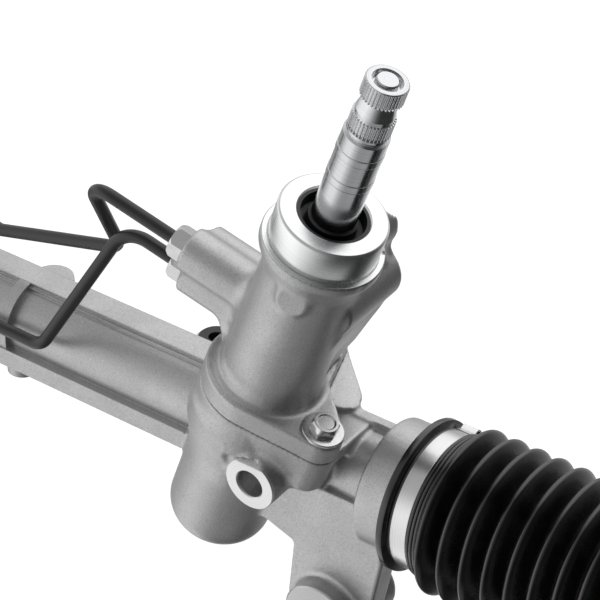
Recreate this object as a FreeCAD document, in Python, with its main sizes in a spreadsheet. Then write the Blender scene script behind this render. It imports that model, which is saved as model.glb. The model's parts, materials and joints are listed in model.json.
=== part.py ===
import FreeCAD, Part

import math
import os
import re

from FreeCAD import Vector

# Hydraulic power steering rack: a rack bar with a piston slides in a cast gear housing and a steel
# cylinder, driven by a helical pinion under a rotary valve.
# World frame: +X along the rack bar towards the right-hand end, +Z up, the rack bar's axis at y = z = 0.
# The pinion axis crosses in front of the bar, in the plane y = -pinion_offset, leaning towards +X.

doc = FreeCAD.newDocument("steering_rack")
sheet = doc.addObject("Spreadsheet::Sheet", "Sizes")

SIZES = [
    # the two axes and the gear
    ("pinion_tilt", 19.3, "lean of the pinion axis from the vertical, degrees"),
    ("pinion_offset", 15.5, "distance between the rack bar's axis and the pinion axis"),
    ("gear_module", 1.8, "normal module"),
    ("pinion_teeth", 8, "teeth on the pinion"),
    ("pressure_angle", 20, "normal pressure angle, degrees"),
    ("profile_shift", 0.5, "profile shift of the pinion, in modules"),
    ("pinion_tip_radius", 9.9, "outside radius of the pinion teeth"),
    ("gear_backlash", 0.14, "play between pinion and rack teeth"),
    ("pinion_face", 30, "toothed length of the pinion"),
    # rack bar
    ("bar_radius", 12.75, "rack bar"),
    ("rack_travel", 72, "travel each way from straight ahead"),
    ("toothed_length", 164, "toothed length of the bar"),
    ("right_end_x", 96, "right end face of the housing"),
    ("left_end_x", -532, "left end face of the housing"),
    ("stop_gap", 2, "gap between the socket and the housing at full lock"),
    ("fit_gap", 0.05, "radial clearance of a running fit"),
    # gear housing casting
    ("tube_radius", 19.2, "cast tube around the rack bar"),
    ("tube_bore", 13.6, "bore of the cast tube"),
    ("cast_left_x", -236, "left end of the casting"),
    ("cast_socket_radius", 28, "socket that holds the steel cylinder"),
    ("cast_socket_length", 26, "length of that socket"),
    ("rail_top", 22.3, "height of the flat top rail"),
    ("rail_back", 9.3, "rear edge of the top rail"),
    ("rail_front", 3, "front edge of the top rail, left of the pinion"),
    ("rail_lip", 1.2, "lip under the top rail's front edge"),
    ("side_rail_reach", 22.8, "front and rear rails, distance from the axis"),
    ("side_rail_top", -3.1, "upper face of the front and rear rails"),
    ("side_rail_height", 9.4, "height of the front and rear rails"),
    ("rib_x", -131.6, "ring rib of the cast tube"),
    ("rib_width", 6.3, "width of the ring rib"),
    ("rear_lug_x", -125, "round lug behind the top rail"),
    ("rear_lug_y", 7.5, "centre of that lug, behind the bar axis"),
    ("rear_lug_radius", 10, "that lug"),
    ("low_lug_x", -129.5, "round lug under the front rail"),
    ("low_lug_radius", 7.5, "that lug"),
    ("tower_radius", 22.5, "pinion tower below the flange"),
    ("tower_bottom", -53, "closed bottom of the tower, along the pinion axis"),
    ("tower_round", 14, "rounding of the tower's bottom edge"),
    ("tower_bore", 13, "bore for the lower bearing and the pinion"),
    ("bearing_bore", 15, "bore for the upper pinion bearing"),
    ("joint_height", 36.8, "joint between gear and valve housings, along the pinion axis"),
    ("block_radius", 28.6, "widest part of the tower under the joint"),
    ("flange_radius", 25.7, "round part of the joint flange"),
    ("flange_u", -1.6, "centre of that round part, across the pinion axis"),
    ("flange_v", -1, "centre of that round part, behind the pinion axis"),
    ("flange_depth", 11, "depth of the gear housing's flange plate"),
    ("bolt_u", 33.6, "front flange bolt, to the right of the pinion axis"),
    ("bolt_v", -8.6, "front flange bolt, in front of the pinion axis"),
    ("rear_bolt_u", 2, "rear flange bolt, across the pinion axis"),
    ("rear_bolt_v", 40, "rear flange bolt, behind the pinion axis"),
    ("corner_u", 23, "rear corner of the flange, across"),
    ("corner_v", 23.5, "rear corner of the flange, behind"),
    ("ledge_right", 52, "right edge of the flat ledge beside the front bolt"),
    ("ledge_front", 21.1, "front corner of the ledge, in front of the bar axis"),
    ("ledge_top", 21.6, "upper face of the ledge"),
    ("ledge_depth", 5, "thickness of the ledge"),
    ("lobe_radius", 9.4, "flange lobes around the bolts"),
    ("washer_radius", 9, "collar of the flange bolts"),
    ("washer_depth", 1.6, "thickness of that collar"),
    ("bolt_flats", 10.8, "head of the flange bolts, across flats"),
    ("bolt_head", 6.2, "height of that head, with its collar"),
    ("bolt_shank", 4, "flange bolt shank"),
    ("lobe_low", 15, "lower end of the front lobe, along the pinion axis"),
    ("bolt_depth", 18, "depth of the bolt below the joint"),
    ("end_collar_radius", 28, "collar under the boot"),
    ("end_collar_length", 31.5, "length of that collar"),
    ("bar_bush_radius", 15, "bush in the right-hand end"),
    ("bar_bush_length", 16, "length of that bush"),
    # mounting foot and pad
    ("slab_front", 22.8, "front face of the foot, in front of the bar axis"),
    ("slab_depth", 13, "thickness of the foot"),
    ("slab_top", 1, "upper edge of the foot"),
    ("slab_left", 31, "left edge of the foot"),
    ("slab_right", 77, "right edge of the foot"),
    ("eye_x", 49.5, "mounting eye"),
    ("eye_drop", 63.8, "mounting eye below the bar axis"),
    ("eye_radius", 21.5, "foot around the eye"),
    ("eye_boss_radius", 17, "machined boss of the eye"),
    ("eye_boss_reach", 8.3, "eye boss in front of the foot"),
    ("eye_back", 4, "rear face of the eye"),
    ("eye_bore", 9.5, "bore of the eye"),
    ("sleeve_bore", 5.2, "steel sleeve in the eye"),
    ("sleeve_radius", 7.6, "outside of the steel sleeve"),
    ("pad_x", 23.2, "machined pad beside the tower"),
    ("pad_z", 5.8, "height of the pad"),
    ("pad_front", 42.2, "pad face in front of the bar axis"),
    ("pad_radius", 12, "machined pad"),
    ("pad_hole", 6.3, "hole in the pad"),
    ("pad_depth", 12, "depth of that hole"),
    # rear ear
    ("ear_x", -48, "ear behind the tube"),
    ("ear_y", 28, "ear behind the bar axis"),
    ("ear_z", -1.2, "underside of the ear"),
    ("ear_height", 8, "thickness of the ear"),
    ("ear_radius", 9.5, "round end of the ear"),
    ("ear_hole_radius", 6, "hole of the ear"),
    ("grommet_bore", 3.5, "bore of the rubber grommet in it"),
    # rack guide
    ("guide_radius", 14, "rack guide"),
    ("guide_back", 25, "rear face of the guide"),
    ("liner_thickness", 0.7, "liner between guide and bar"),
    ("guide_boss_radius", 19, "guide boss of the casting"),
    ("guide_boss_reach", 36, "rear face of the guide boss"),
    ("plug_thickness", 8, "guide plug"),
    ("plug_head", 5, "guide plug behind the boss"),
    ("spring_wire", 1.3, "guide spring"),
    ("spring_coil", 6.5, "mean radius of the guide spring"),
    ("spring_turns", 3, "turns of the guide spring"),
    # valve housing, all heights along the pinion axis
    ("valve_flange_top", 46.8, "top of the valve housing's flange"),
    ("valve_radius_low", 21.2, "valve body at its foot"),
    ("valve_radius_high", 20.3, "valve body at its top"),
    ("valve_neck", 112, "end of the valve body's straight part"),
    ("ring_height", 125.9, "top of the cast ring"),
    ("ring_radius", 25.1, "cast ring under the collar"),
    ("ring_depth", 4, "depth of the cast ring's rim"),
    ("collar_top", 141.2, "top of the machined collar"),
    ("collar_radius", 22.3, "machined collar"),
    ("collar_chamfer", 0.9, "chamfer of the collar"),
    ("collar_relief", 1.5, "room turned round the collar, in the feed port's boss"),
    ("seal_bore", 14.5, "bore for the shaft seal"),
    ("seal_seat", 122, "bottom of that bore"),
    ("valve_bore", 16.5, "bore of the valve"),
    ("spigot_depth", 6, "spigot that centres the valve housing"),
    ("o_ring_radius", 1.3, "section of the joint's o-ring"),
    # ports of the valve housing
    ("port_yaw", 5.6, "turn of the line ports towards the front, degrees"),
    ("port_face", 53.5, "port face, from the pinion axis"),
    ("port_long_height", 75.6, "port of the long line"),
    ("port_short_height", 58.6, "port of the short line"),
    ("port_short_back", 6, "port of the short line, behind the long one"),
    ("port_radius", 9.8, "port bosses"),
    ("port_web_height", 71, "rear lobe of the port boss"),
    ("port_web_back", 12, "rear lobe, behind the long line's port"),
    ("port_thread", 5, "thread of the line ports"),
    ("port_depth", 11, "depth of the line ports"),
    ("rear_port_reach", 36, "feed and return ports, face behind the pinion axis"),
    ("feed_u", 1.8, "feed port, across"),
    ("feed_height", 118, "feed port"),
    ("feed_radius", 12, "feed port boss"),
    ("feed_thread", 7, "thread of the feed port"),
    ("return_u", 10.7, "return port, across"),
    ("return_height", 96, "return port"),
    ("return_radius", 13, "return port boss"),
    ("web_low_u", 14, "foot of the web under the return port, across"),
    ("web_low_height", 47, "foot of that web"),
    ("web_reach", 29, "web behind the pinion axis"),
    ("disc_height", 109, "raised disc on the front of the valve housing"),
    ("disc_turn", 13.7, "turn of the disc from the front to the right, degrees"),
    ("disc_radius", 6.4, "raised disc"),
    ("disc_face", 21.2, "face of the disc, from the pinion axis"),
    ("return_thread", 8, "thread of the return port"),
    ("rear_port_depth", 14, "depth of the feed and return ports"),
    # input shaft, heights along the pinion axis
    ("shaft_top", 211.8, "top of the input shaft"),
    ("head_bottom", 204, "underside of the splined head"),
    ("band_top", 194.8, "top of the lower spline band"),
    ("band_bottom", 188, "bottom of the lower spline band"),
    ("spline_radius", 8.6, "outside of the splines"),
    ("spline_root", 7.9, "root of the splines"),
    ("spline_teeth", 36, "teeth of the splines"),
    ("neck_radius", 6.2, "pinch groove of the shaft"),
    ("shaft_radius", 9.2, "plain shaft"),
    ("ring_band", 0.22, "height of the two turned bands"),
    ("upper_band", 174.7, "upper turned band"),
    ("lower_band", 161.6, "lower turned band"),
    ("band_width", 3.5, "width of the turned bands"),
    ("journal_radius", 10, "journal inside the valve"),
    ("shaft_bottom", 53, "lower end of the input shaft"),
    ("torsion_radius", 3.4, "torsion bar"),
    ("torsion_end", 4, "lower end of the torsion bar"),
    ("torsion_head", 4.5, "upper end of the torsion bar"),
    ("torsion_bottom", 22, "lower end of the torsion bar"),
    ("torsion_proud", 0.4, "torsion bar above the shaft's top"),
    ("recess_radius", 6.1, "recess around the torsion bar"),
    ("recess_depth", 2.2, "depth of that recess"),
    # valve sleeve and pinion, heights along the pinion axis
    ("sleeve_top", 104, "top of the valve sleeve"),
    ("sleeve_bottom", 44, "bottom of the valve sleeve"),
    ("sleeve_gap", 0.15, "gap around the valve sleeve"),
    ("sleeve_rings", 4, "seal rings of the sleeve"),
    ("sleeve_ring_depth", 1.4, "depth of the ring grooves"),
    ("sleeve_ring_width", 2.4, "width of the ring grooves"),
    ("pinion_head", 50, "top of the pinion"),
    ("pinion_head_radius", 12, "head of the pinion"),
    ("upper_journal", 7.5, "pinion in its upper bearing"),
    ("lower_journal", 5, "pinion in its lower bearing"),
    ("upper_bearing_low", 18, "underside of the upper pinion bearing"),
    ("upper_bearing_width", 10, "width of that bearing"),
    ("lower_bearing_low", -35, "underside of the lower pinion bearing"),
    ("lower_bearing_width", 8, "width of that bearing"),
    ("pinion_nut_width", 5, "nut under the lower bearing"),
    ("valve_bearing_low", 106, "underside of the input shaft's bearing"),
    ("valve_bearing_width", 11, "width of that bearing"),
    # cylinder
    ("cylinder_bore", 20, "bore of the steel cylinder"),
    ("cylinder_wall", 2.5, "wall of the steel cylinder"),
    ("cylinder_insert", 16, "length of the cylinder inside each end"),
    ("cap_length", 32, "end cap of the cylinder"),
    ("seal_length", 12, "rod seals"),
    ("piston_x", -368, "piston on the bar"),
    ("piston_width", 22, "piston"),
    ("piston_gap", 0.15, "gap around the piston"),
    ("piston_ring_width", 5, "piston ring"),
    ("piston_ring_depth", 2.6, "depth of the piston ring's groove"),
    ("cylinder_port_radius", 8, "port bosses on the cylinder"),
    ("cylinder_port_top", 36, "top of those bosses above the bar axis"),
    ("right_port_x", -256, "port at the cylinder's right end"),
    ("left_port_x", -492, "port at the cylinder's left end"),
    # hydraulic lines
    ("line_radius", 2.9, "steel line"),
    ("line_bore", 2.1, "inside of the steel line"),
    ("line_bend", 9, "bend radius of the lines"),
    ("short_line_bend", 14, "first bend of the short line"),
    ("nut_flats", 13, "flare nut across flats"),
    ("nut_length", 7, "hexagon of the flare nut"),
    ("nut_stub", 8, "threaded part of the flare nut"),
    ("long_line_y", 12.5, "long line beside the cylinder"),
    ("long_line_z", 38, "long line above the cylinder"),
    ("short_line_y", -26, "short line in front of the cast tube"),
    ("short_line_z", 12.2, "short line in front of the cast tube"),
    # left-hand bracket
    ("bracket_x", -440, "left-hand bracket"),
    ("bracket_width", 38, "width of the bracket"),
    ("bracket_gauge", 3, "thickness of the bracket"),
    ("rubber_thickness", 6, "rubber under the bracket"),
    ("bracket_back", 26, "mounting face of the bracket"),
    ("bracket_hole_z", 44, "bolt holes above and below the bar axis"),
    ("bracket_hole", 5.5, "bolt holes of the bracket"),
    ("bracket_tab", 56, "outer edge of the bracket's tabs"),
    # tie rods
    ("socket_radius", 18, "inner tie rod socket"),
    ("socket_length", 32, "length of the socket"),
    ("ball_reach", 20, "ball centre beyond the socket's inner face"),
    ("ball_radius", 13, "ball of the tie rod"),
    ("seat_thickness", 1.5, "plastic seat around the ball"),
    ("stud_radius", 7, "stud of the socket in the bar"),
    ("stud_length", 22, "length of that stud"),
    ("tie_rod_radius", 6.5, "tie rod"),
    ("tie_rod_neck", 5.8, "tie rod beside the ball"),
    ("tie_rod_length", 250, "tie rod from the ball centre"),
    ("thread_radius", 7, "threaded end of the tie rod"),
    ("thread_length", 78, "length of that thread"),
    ("jam_nut_flats", 22, "jam nut across flats"),
    ("jam_nut_width", 11, "jam nut"),
    ("swing_angle", 20, "swing of the tie rod each way, degrees"),
    ("lock_washer", 1.6, "lock washer between socket and bar"),
    # boots, distances outboard from the housing's end face
    ("boot_lip_radius", 33.5, "lip of the boot"),
    ("boot_start", -16.5, "inner end of the boot"),
    ("boot_lip_width", 3.9, "width of the lip"),
    ("boot_cuff", 29.7, "boot cuff under the clamp"),
    ("clamp_start", -11.4, "inner edge of the boot clamp"),
    ("clamp_width", 7.7, "boot clamp"),
    ("clamp_gauge", 0.8, "thickness of the clamp"),
    ("pleat_start", 2.7, "first pleat"),
    ("pleat_pitch", 10.3, "distance between pleats"),
    ("pleat_count", 13, "pleats"),
    ("pleat_radius", 36.3, "outside of the pleats"),
    ("pleat_depth", 9.5, "depth of the pleats"),
    ("pleat_taper_from", 9, "pleats of full size"),
    ("pleat_last_gap", 9, "last pleat above the tail"),
    ("boot_wall", 2, "wall of the boot at its ends"),
    ("boot_end", 158, "outer end of the boot"),
    ("boot_tail_length", 12, "tail of the boot on the tie rod"),
    ("clip_width", 5, "spring clip on the boot's tail"),
]
ALIASES = {alias for alias, value, note in SIZES}
for row, (alias, value, note) in enumerate(SIZES, start=1):
    sheet.set(f"A{row}", note)
    sheet.set(f"B{row}", str(value))
    sheet.setAlias(f"B{row}", alias)
doc.recompute()


def size(alias):
    """The number that the sheet holds under this name."""
    return float(sheet.get(alias))


def ex(text):
    """An expression in which each size's name points at the sheet."""
    return re.sub(r"[a-z]\w*", lambda word: "Sizes." + word.group() if word.group() in ALIASES else word.group(),
                  str(text))


# Directions that a piece's own +Z can be turned to, as axis and angle of the turn
UP = ("0;1;0", "0")
RIGHT = ("0;1;0", "90")
LEFT = ("0;1;0", "-90")
FRONT = ("1;0;0", "90")
BACK = ("1;0;0", "-90")
PINION = ("0;1;0", "pinion_tilt")


def place(piece, at, turn=UP):
    """Bind a piece's placement to the point and the turn."""
    x, y, z = at
    axis, angle = turn
    piece.setExpression("Placement", ex(
        f"placement(vector({x};{y};{z});rotation(vector({axis});{angle}))"))


def on_pinion(height="0", across="0", behind="0"):
    """A point given along the pinion axis, across it towards +X and behind it."""
    return (f"({height})*sin(pinion_tilt)+({across})*cos(pinion_tilt)",
            f"({behind})-pinion_offset",
            f"({height})*cos(pinion_tilt)-({across})*sin(pinion_tilt)")


def cylinder(name, radius, height, at, turn=UP):
    piece = doc.addObject("Part::Cylinder", name)
    piece.setExpression("Radius", ex(radius))
    piece.setExpression("Height", ex(height))
    place(piece, at, turn)
    return piece


def cone(name, radius_low, radius_high, height, at, turn=UP):
    piece = doc.addObject("Part::Cone", name)
    piece.setExpression("Radius1", ex(radius_low))
    piece.setExpression("Radius2", ex(radius_high))
    piece.setExpression("Height", ex(height))
    place(piece, at, turn)
    return piece


def box(name, length, width, height, at, turn=UP):
    piece = doc.addObject("Part::Box", name)
    piece.setExpression("Length", ex(length))
    piece.setExpression("Width", ex(width))
    piece.setExpression("Height", ex(height))
    place(piece, at, turn)
    return piece


def hexagon(name, flats, height, at, turn=UP):
    """A hexagonal prism given by its width across flats."""
    piece = doc.addObject("Part::Prism", name)
    piece.Polygon = 6
    piece.setExpression("Circumradius", ex(f"({flats})/sqrt(3)"))
    piece.setExpression("Height", ex(height))
    place(piece, at, turn)
    return piece


def ball(name, radius, at):
    piece = doc.addObject("Part::Sphere", name)
    piece.setExpression("Radius", ex(radius))
    place(piece, at)
    return piece


def fuse(name, pieces):
    piece = doc.addObject("Part::MultiFuse", name)
    piece.Shapes = pieces
    piece.Refine = True
    return piece


def cut(name, base, tools):
    piece = doc.addObject("Part::Cut", name)
    piece.Base = base
    piece.Tool = tools[0] if len(tools) == 1 else fuse(name + "_tools", tools)
    piece.Refine = True
    return piece


def common(name, base, tool):
    piece = doc.addObject("Part::Common", name)
    piece.Base = base
    piece.Tool = tool
    return piece


def turned(name, profile, at, turn=UP):
    """A lathe-turned body: its half section goes through the corners (radius, height along the axis)."""
    body = doc.addObject("PartDesign::Body", name)
    plane = next(f for f in body.Origin.OriginFeatures if f.Role == "XZ_Plane")
    axis = next(f for f in body.Origin.OriginFeatures if f.Role == "Z_Axis")
    sketch = body.newObject("Sketcher::SketchObject", name + "_section")
    sketch.AttachmentSupport = (plane, [""])
    sketch.MapMode = "FlatFace"
    values = [tuple(measure(text) for text in corner) for corner in profile]
    count = len(profile)
    for k in range(count):
        here, there = values[k], values[(k + 1) % count]
        sketch.addGeometry(Part.LineSegment(Vector(*here, 0), Vector(*there, 0)), False)
    import Sketcher
    for k in range(count):
        sketch.addConstraint(Sketcher.Constraint("Coincident", k, 2, (k + 1) % count, 1))
    for k, corner in enumerate(profile):
        for kind, text, on_axis in (("DistanceX", corner[0], -2), ("DistanceY", corner[1], -1)):
            if abs(measure(text)) < 1e-9 and text == "0":
                sketch.addConstraint(Sketcher.Constraint("PointOnObject", k, 1, on_axis))
            else:
                index = sketch.addConstraint(Sketcher.Constraint(kind, -1, 1, k, 1, measure(text)))
                sketch.setExpression(f"Constraints[{index}]", ex(text))
    lathe = body.newObject("PartDesign::Revolution", name + "_turn")
    lathe.Profile = sketch
    lathe.ReferenceAxis = (axis, [""])
    lathe.Angle = 360
    body.Tip = lathe
    place(body, at, turn)
    return body


def measure(text):
    """The value of a size expression, in millimetres."""
    names = {alias: size(alias) for alias in set(re.findall(r"[a-z]\w*", str(text))) & ALIASES}
    value = doc.getObject("Gauge")
    if value is None:
        value = doc.addObject("App::FeaturePython", "Gauge")
        value.addProperty("App::PropertyFloat", "Value")
    if not names:
        return float(text)
    value.setExpression("Value", ex(text))
    value.recompute()
    return value.Value


def shaped(name, shape, at=("0", "0", "0"), turn=UP):
    """A piece whose shape is worked out from the sheet's sizes."""
    piece = doc.addObject("Part::Feature", name)
    piece.Shape = shape
    place(piece, at, turn)
    return piece


def sub_part(label, piece):
    piece.Label = label
    PARTS.append(piece)
    return piece


PARTS = []


# Gear: transverse values of the pinion, whose helix angle equals the lean of its axis, so that the
# teeth of the bar run straight across it
def pinion_pitch_radius():
    return size("gear_module") * size("pinion_teeth") / (2 * math.cos(math.radians(size("pinion_tilt"))))


def pinion_section(turn):
    """One closed wire of the pinion's teeth, with its first tooth centred at the angle turn."""
    lean = math.radians(size("pinion_tilt"))
    flank = math.radians(size("pressure_angle"))
    module = size("gear_module")
    pitch = pinion_pitch_radius()
    flank_across = math.atan(math.tan(flank) / math.cos(lean))
    base = pitch * math.cos(flank_across)
    tip = size("pinion_tip_radius")
    root = pitch - module * (1.25 - size("profile_shift"))
    thickness = (math.pi * module / 2 + 2 * size("profile_shift") * module * math.tan(flank)
                 - size("gear_backlash")) / math.cos(lean)

    def involute(angle):
        return math.tan(angle) - angle

    def half_angle(radius):
        rolled = math.acos(min(1.0, base / radius))
        return thickness / (2 * pitch) + involute(flank_across) - involute(rolled)

    def point(radius, angle):
        return Vector(radius * math.cos(angle), radius * math.sin(angle), 0)

    steps = 6
    radii = [base + (tip - base) * (k / steps) ** 1.5 for k in range(steps + 1)]
    teeth = int(size("pinion_teeth"))
    edges = []
    for tooth in range(teeth):
        centre = turn + 2 * math.pi * tooth / teeth
        after = centre + 2 * math.pi / teeth
        low, high = half_angle(base), half_angle(tip)
        rising = Part.BSplineCurve()
        rising.interpolate([point(r, centre - half_angle(r)) for r in radii])
        falling = Part.BSplineCurve()
        falling.interpolate([point(r, centre + half_angle(r)) for r in reversed(radii)])
        edges += [
            Part.LineSegment(point(root, centre - low), point(base, centre - low)).toShape(),
            rising.toShape(),
            Part.Arc(point(tip, centre - high), point(tip, centre), point(tip, centre + high)).toShape(),
            falling.toShape(),
            Part.LineSegment(point(base, centre + low), point(root, centre + low)).toShape(),
            Part.Arc(point(root, centre + low), point(root, (centre + after) / 2),
                     point(root, after - low)).toShape(),
        ]
    return Part.Wire(Part.__sortEdges__(edges))


def pinion_teeth():
    """The helical teeth: the section follows a helix around the pinion axis."""
    face = size("pinion_face")
    pitch = pinion_pitch_radius()
    twist = face * math.tan(math.radians(size("pinion_tilt"))) / pitch
    section = pinion_section(math.pi / 2 - twist / 2)
    spine = Part.Wire(Part.makeLine(Vector(0, 0, 0), Vector(0, 0, face)))
    helix = Part.makeHelix(face * 2 * math.pi / twist, face, pitch)
    shell = Part.BRepOffsetAPI.MakePipeShell(spine)
    shell.setAuxiliarySpine(Part.Wire(helix.Edges), True, 0)
    shell.add(section)
    shell.build()
    shell.makeSolid()
    return shell.shape()


def rack_comb():
    """What the rack teeth's cutter takes away from the bar, as one prism."""
    module = size("gear_module")
    pitch = math.pi * module
    slope = math.tan(math.radians(size("pressure_angle")))
    reference = -(size("pinion_offset") - module * size("pinion_teeth")
                  / (2 * math.cos(math.radians(size("pinion_tilt")))) - module * size("profile_shift"))
    tip = reference - module
    root = reference + 1.25 * module
    at_tip = pitch / 4 + (reference - tip) * slope
    at_root = pitch / 4 - (root - reference) * slope
    half = size("toothed_length") / 2
    clear = -size("bar_radius") - 5
    spaces = int((half - at_tip) / pitch)
    reach = size("bar_radius") + 2
    corners = [(-half, clear), (-half, tip)]
    for k in range(-spaces, spaces + 1):
        middle = k * pitch
        corners += [(middle - at_tip, tip), (middle - at_root, root), (middle + at_root, root),
                    (middle + at_tip, tip)]
    corners += [(half, tip), (half, clear)]
    outline = [Vector(x, y, -reach) for x, y in corners]
    face = Part.Face(Part.makePolygon(outline + outline[:1]))
    return face.extrude(Vector(0, 0, 2 * reach))


def spline_prism(height):
    """A band of straight splines."""
    teeth = int(size("spline_teeth"))
    outer, inner = size("spline_radius"), size("spline_root")
    outline = []
    for tooth in range(teeth):
        for part, radius in ((0.0, inner), (0.34, inner), (0.55, outer), (0.79, outer)):
            angle = 2 * math.pi * (tooth + part) / teeth
            outline.append(Vector(radius * math.cos(angle), radius * math.sin(angle), 0))
    return Part.Face(Part.makePolygon(outline + outline[:1])).extrude(Vector(0, 0, height))


def steel_line(points, first_bend):
    """A bent steel tube along the path, hollow from end to end: straight tubes joined by bends."""

    def ring(centre, along):
        outside = Part.Face(Part.Wire(Part.makeCircle(size("line_radius"), centre, along)))
        inside = Part.Face(Part.Wire(Part.makeCircle(size("line_bore"), centre, along)))
        return outside.cut(inside).Faces[0]

    runs = []
    start = points[0]
    for before, corner, after in zip(points, points[1:], points[2:]):
        arriving = (corner - before).normalize()
        leaving = (after - corner).normalize()
        turn = arriving.getAngle(leaving)
        bend = size(first_bend) if corner is points[1] else size("line_bend")
        trim = bend * math.tan(turn / 2)
        entry = corner - arriving * trim
        hinge = arriving.cross(leaving).normalize()
        centre = entry + hinge.cross(arriving) * bend
        runs.append(ring(start, arriving).extrude(entry - start))
        runs.append(ring(entry, arriving).revolve(centre, hinge, math.degrees(turn)))
        start = corner + leaving * trim
    runs.append(ring(start, leaving).extrude(points[-1] - start))
    return runs[0].multiFuse(runs[1:])


# Rack bar, with its teeth facing the pinion
BAR_RIGHT = "(right_end_x+rack_travel+stop_gap)"
BAR_LEFT = "(left_end_x-rack_travel-stop_gap)"
bar_blank = cylinder("bar_blank", "bar_radius", f"{BAR_RIGHT}-{BAR_LEFT}", (BAR_LEFT, "0", "0"), RIGHT)
comb = shaped("comb", rack_comb())
stud_holes = [
    cylinder("stud_hole_right", "stud_radius", "stud_length+1", (f"{BAR_RIGHT}-stud_length-1", "0", "0"), RIGHT),
    cylinder("stud_hole_left", "stud_radius", "stud_length+1", (BAR_LEFT, "0", "0"), RIGHT),
]
sub_part("rack_bar", cut("rack_bar", bar_blank, [comb] + stud_holes))

# Piston and its ring
PISTON_LEFT = "piston_x-piston_width/2"
sub_part("piston", turned("piston", [
    ("bar_radius", "0"), ("cylinder_bore-piston_gap", "0"),
    ("cylinder_bore-piston_gap", "(piston_width-piston_ring_width)/2"),
    ("cylinder_bore-piston_ring_depth", "(piston_width-piston_ring_width)/2"),
    ("cylinder_bore-piston_ring_depth", "(piston_width+piston_ring_width)/2"),
    ("cylinder_bore-piston_gap", "(piston_width+piston_ring_width)/2"),
    ("cylinder_bore-piston_gap", "piston_width"), ("bar_radius", "piston_width"),
], (PISTON_LEFT, "0", "0"), RIGHT))
sub_part("piston_ring", turned("piston_ring", [
    ("cylinder_bore-piston_ring_depth", "0.1"), ("cylinder_bore-fit_gap", "0.1"),
    ("cylinder_bore-fit_gap", "piston_ring_width-0.1"),
    ("cylinder_bore-piston_ring_depth", "piston_ring_width-0.1"),
], ("piston_x-piston_ring_width/2", "0", "0"), RIGHT))

# Steel cylinder with its two port bosses
CYLINDER_RADIUS = "(cylinder_bore+cylinder_wall)"
CYLINDER_RIGHT = "(cast_left_x+cylinder_insert)"
CYLINDER_LEFT = "(left_end_x+cap_length-cylinder_insert)"
cylinder_skin = cylinder("cylinder_skin", CYLINDER_RADIUS, f"{CYLINDER_RIGHT}-{CYLINDER_LEFT}",
                         (CYLINDER_LEFT, "0", "0"), RIGHT)
cylinder_bosses = [
    cylinder(f"cylinder_boss_{side}", "cylinder_port_radius", "cylinder_port_top-cylinder_bore-1",
             (f"{side}_port_x", "0", "cylinder_bore+1"))
    for side in ("right", "left")
]
cylinder_hollow = cylinder("cylinder_hollow", "cylinder_bore", f"{CYLINDER_RIGHT}-{CYLINDER_LEFT}+2",
                           (f"{CYLINDER_LEFT}-1", "0", "0"), RIGHT)
cylinder_ports = []
for side in ("right", "left"):
    cylinder_ports += [
        cylinder(f"cylinder_thread_{side}", "port_thread", "port_depth",
                 (f"{side}_port_x", "0", "cylinder_port_top-port_depth")),
        cylinder(f"cylinder_drill_{side}", "line_bore", "cylinder_port_top",
                 (f"{side}_port_x", "0", "0")),
    ]
sub_part("cylinder_tube", cut("cylinder_tube", fuse("cylinder_solid", [cylinder_skin] + cylinder_bosses),
                              [cylinder_hollow] + cylinder_ports))

# Left end cap, which closes the cylinder and carries the left boot
sub_part("cylinder_end_cap", turned("cylinder_end_cap", [
    ("tube_bore", "0"), ("end_collar_radius-1", "0"), ("end_collar_radius", "1"),
    ("end_collar_radius", "cap_length"), ("cylinder_bore+cylinder_wall+fit_gap", "cap_length"),
    ("cylinder_bore+cylinder_wall+fit_gap", "cap_length-cylinder_insert"),
    ("tube_bore", "cap_length-cylinder_insert"),
], ("left_end_x", "0", "0"), RIGHT))
for side, low in (("right", f"{CYLINDER_RIGHT}-seal_length"), ("left", CYLINDER_LEFT)):
    name = f"rod_seal_{side}"
    sub_part(name, turned(name, [
        ("bar_radius+fit_gap", "0"), ("cylinder_bore-fit_gap", "0"),
        ("cylinder_bore-fit_gap", "seal_length"), ("bar_radius+fit_gap", "seal_length"),
    ], (low, "0", "0"), RIGHT))

# Right-hand bush of the bar
sub_part("bar_bush", turned("bar_bush", [
    ("bar_radius+fit_gap", "0"), ("bar_bush_radius", "0"), ("bar_bush_radius", "bar_bush_length"),
    ("bar_radius+fit_gap", "bar_bush_length"),
], ("right_end_x-bar_bush_length", "0", "0"), RIGHT))

# Gear housing: cast tube with its rails and rib, pinion tower, joint flange, foot, eye, pad and guide boss
PLATE_LOW = "joint_height-flange_depth"


def flange_plate(name, low, depth, lobes):
    """A plate around the named discs, drawn on the pinion's own plane: the flange's rim and the bolts' lobes."""
    discs = []
    for lobe in lobes:
        radius = size("flange_radius") if lobe == "flange" else size("lobe_radius")
        discs.append((Vector(size(f"{lobe}_u"), size(f"{lobe}_v"), 0), radius))
    edges = []
    tangents = []
    for (here, r_here), (there, r_there) in zip(discs, discs[1:] + discs[:1]):
        across = there - here
        angle = math.atan2(across.y, across.x) - math.acos((r_here - r_there) / across.Length)
        outward = Vector(math.cos(angle), math.sin(angle), 0)
        tangents.append((here + outward * r_here, there + outward * r_there))
    for k, (start, end) in enumerate(tangents):
        edges.append(Part.LineSegment(start, end).toShape())
        centre, radius = discs[(k + 1) % len(discs)]
        after = tangents[(k + 1) % len(discs)][0]
        first = math.atan2(end.y - centre.y, end.x - centre.x)
        last = math.atan2(after.y - centre.y, after.x - centre.x)
        half_way = first + ((last - first) % (2 * math.pi)) / 2
        middle = Vector(math.cos(half_way), math.sin(half_way), 0)
        edges.append(Part.Arc(end, centre + middle * radius, after).toShape())
    face = Part.Face(Part.Wire(Part.__sortEdges__(edges)))
    return shaped(name, face.extrude(Vector(0, 0, depth)), on_pinion(low), PINION)


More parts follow.
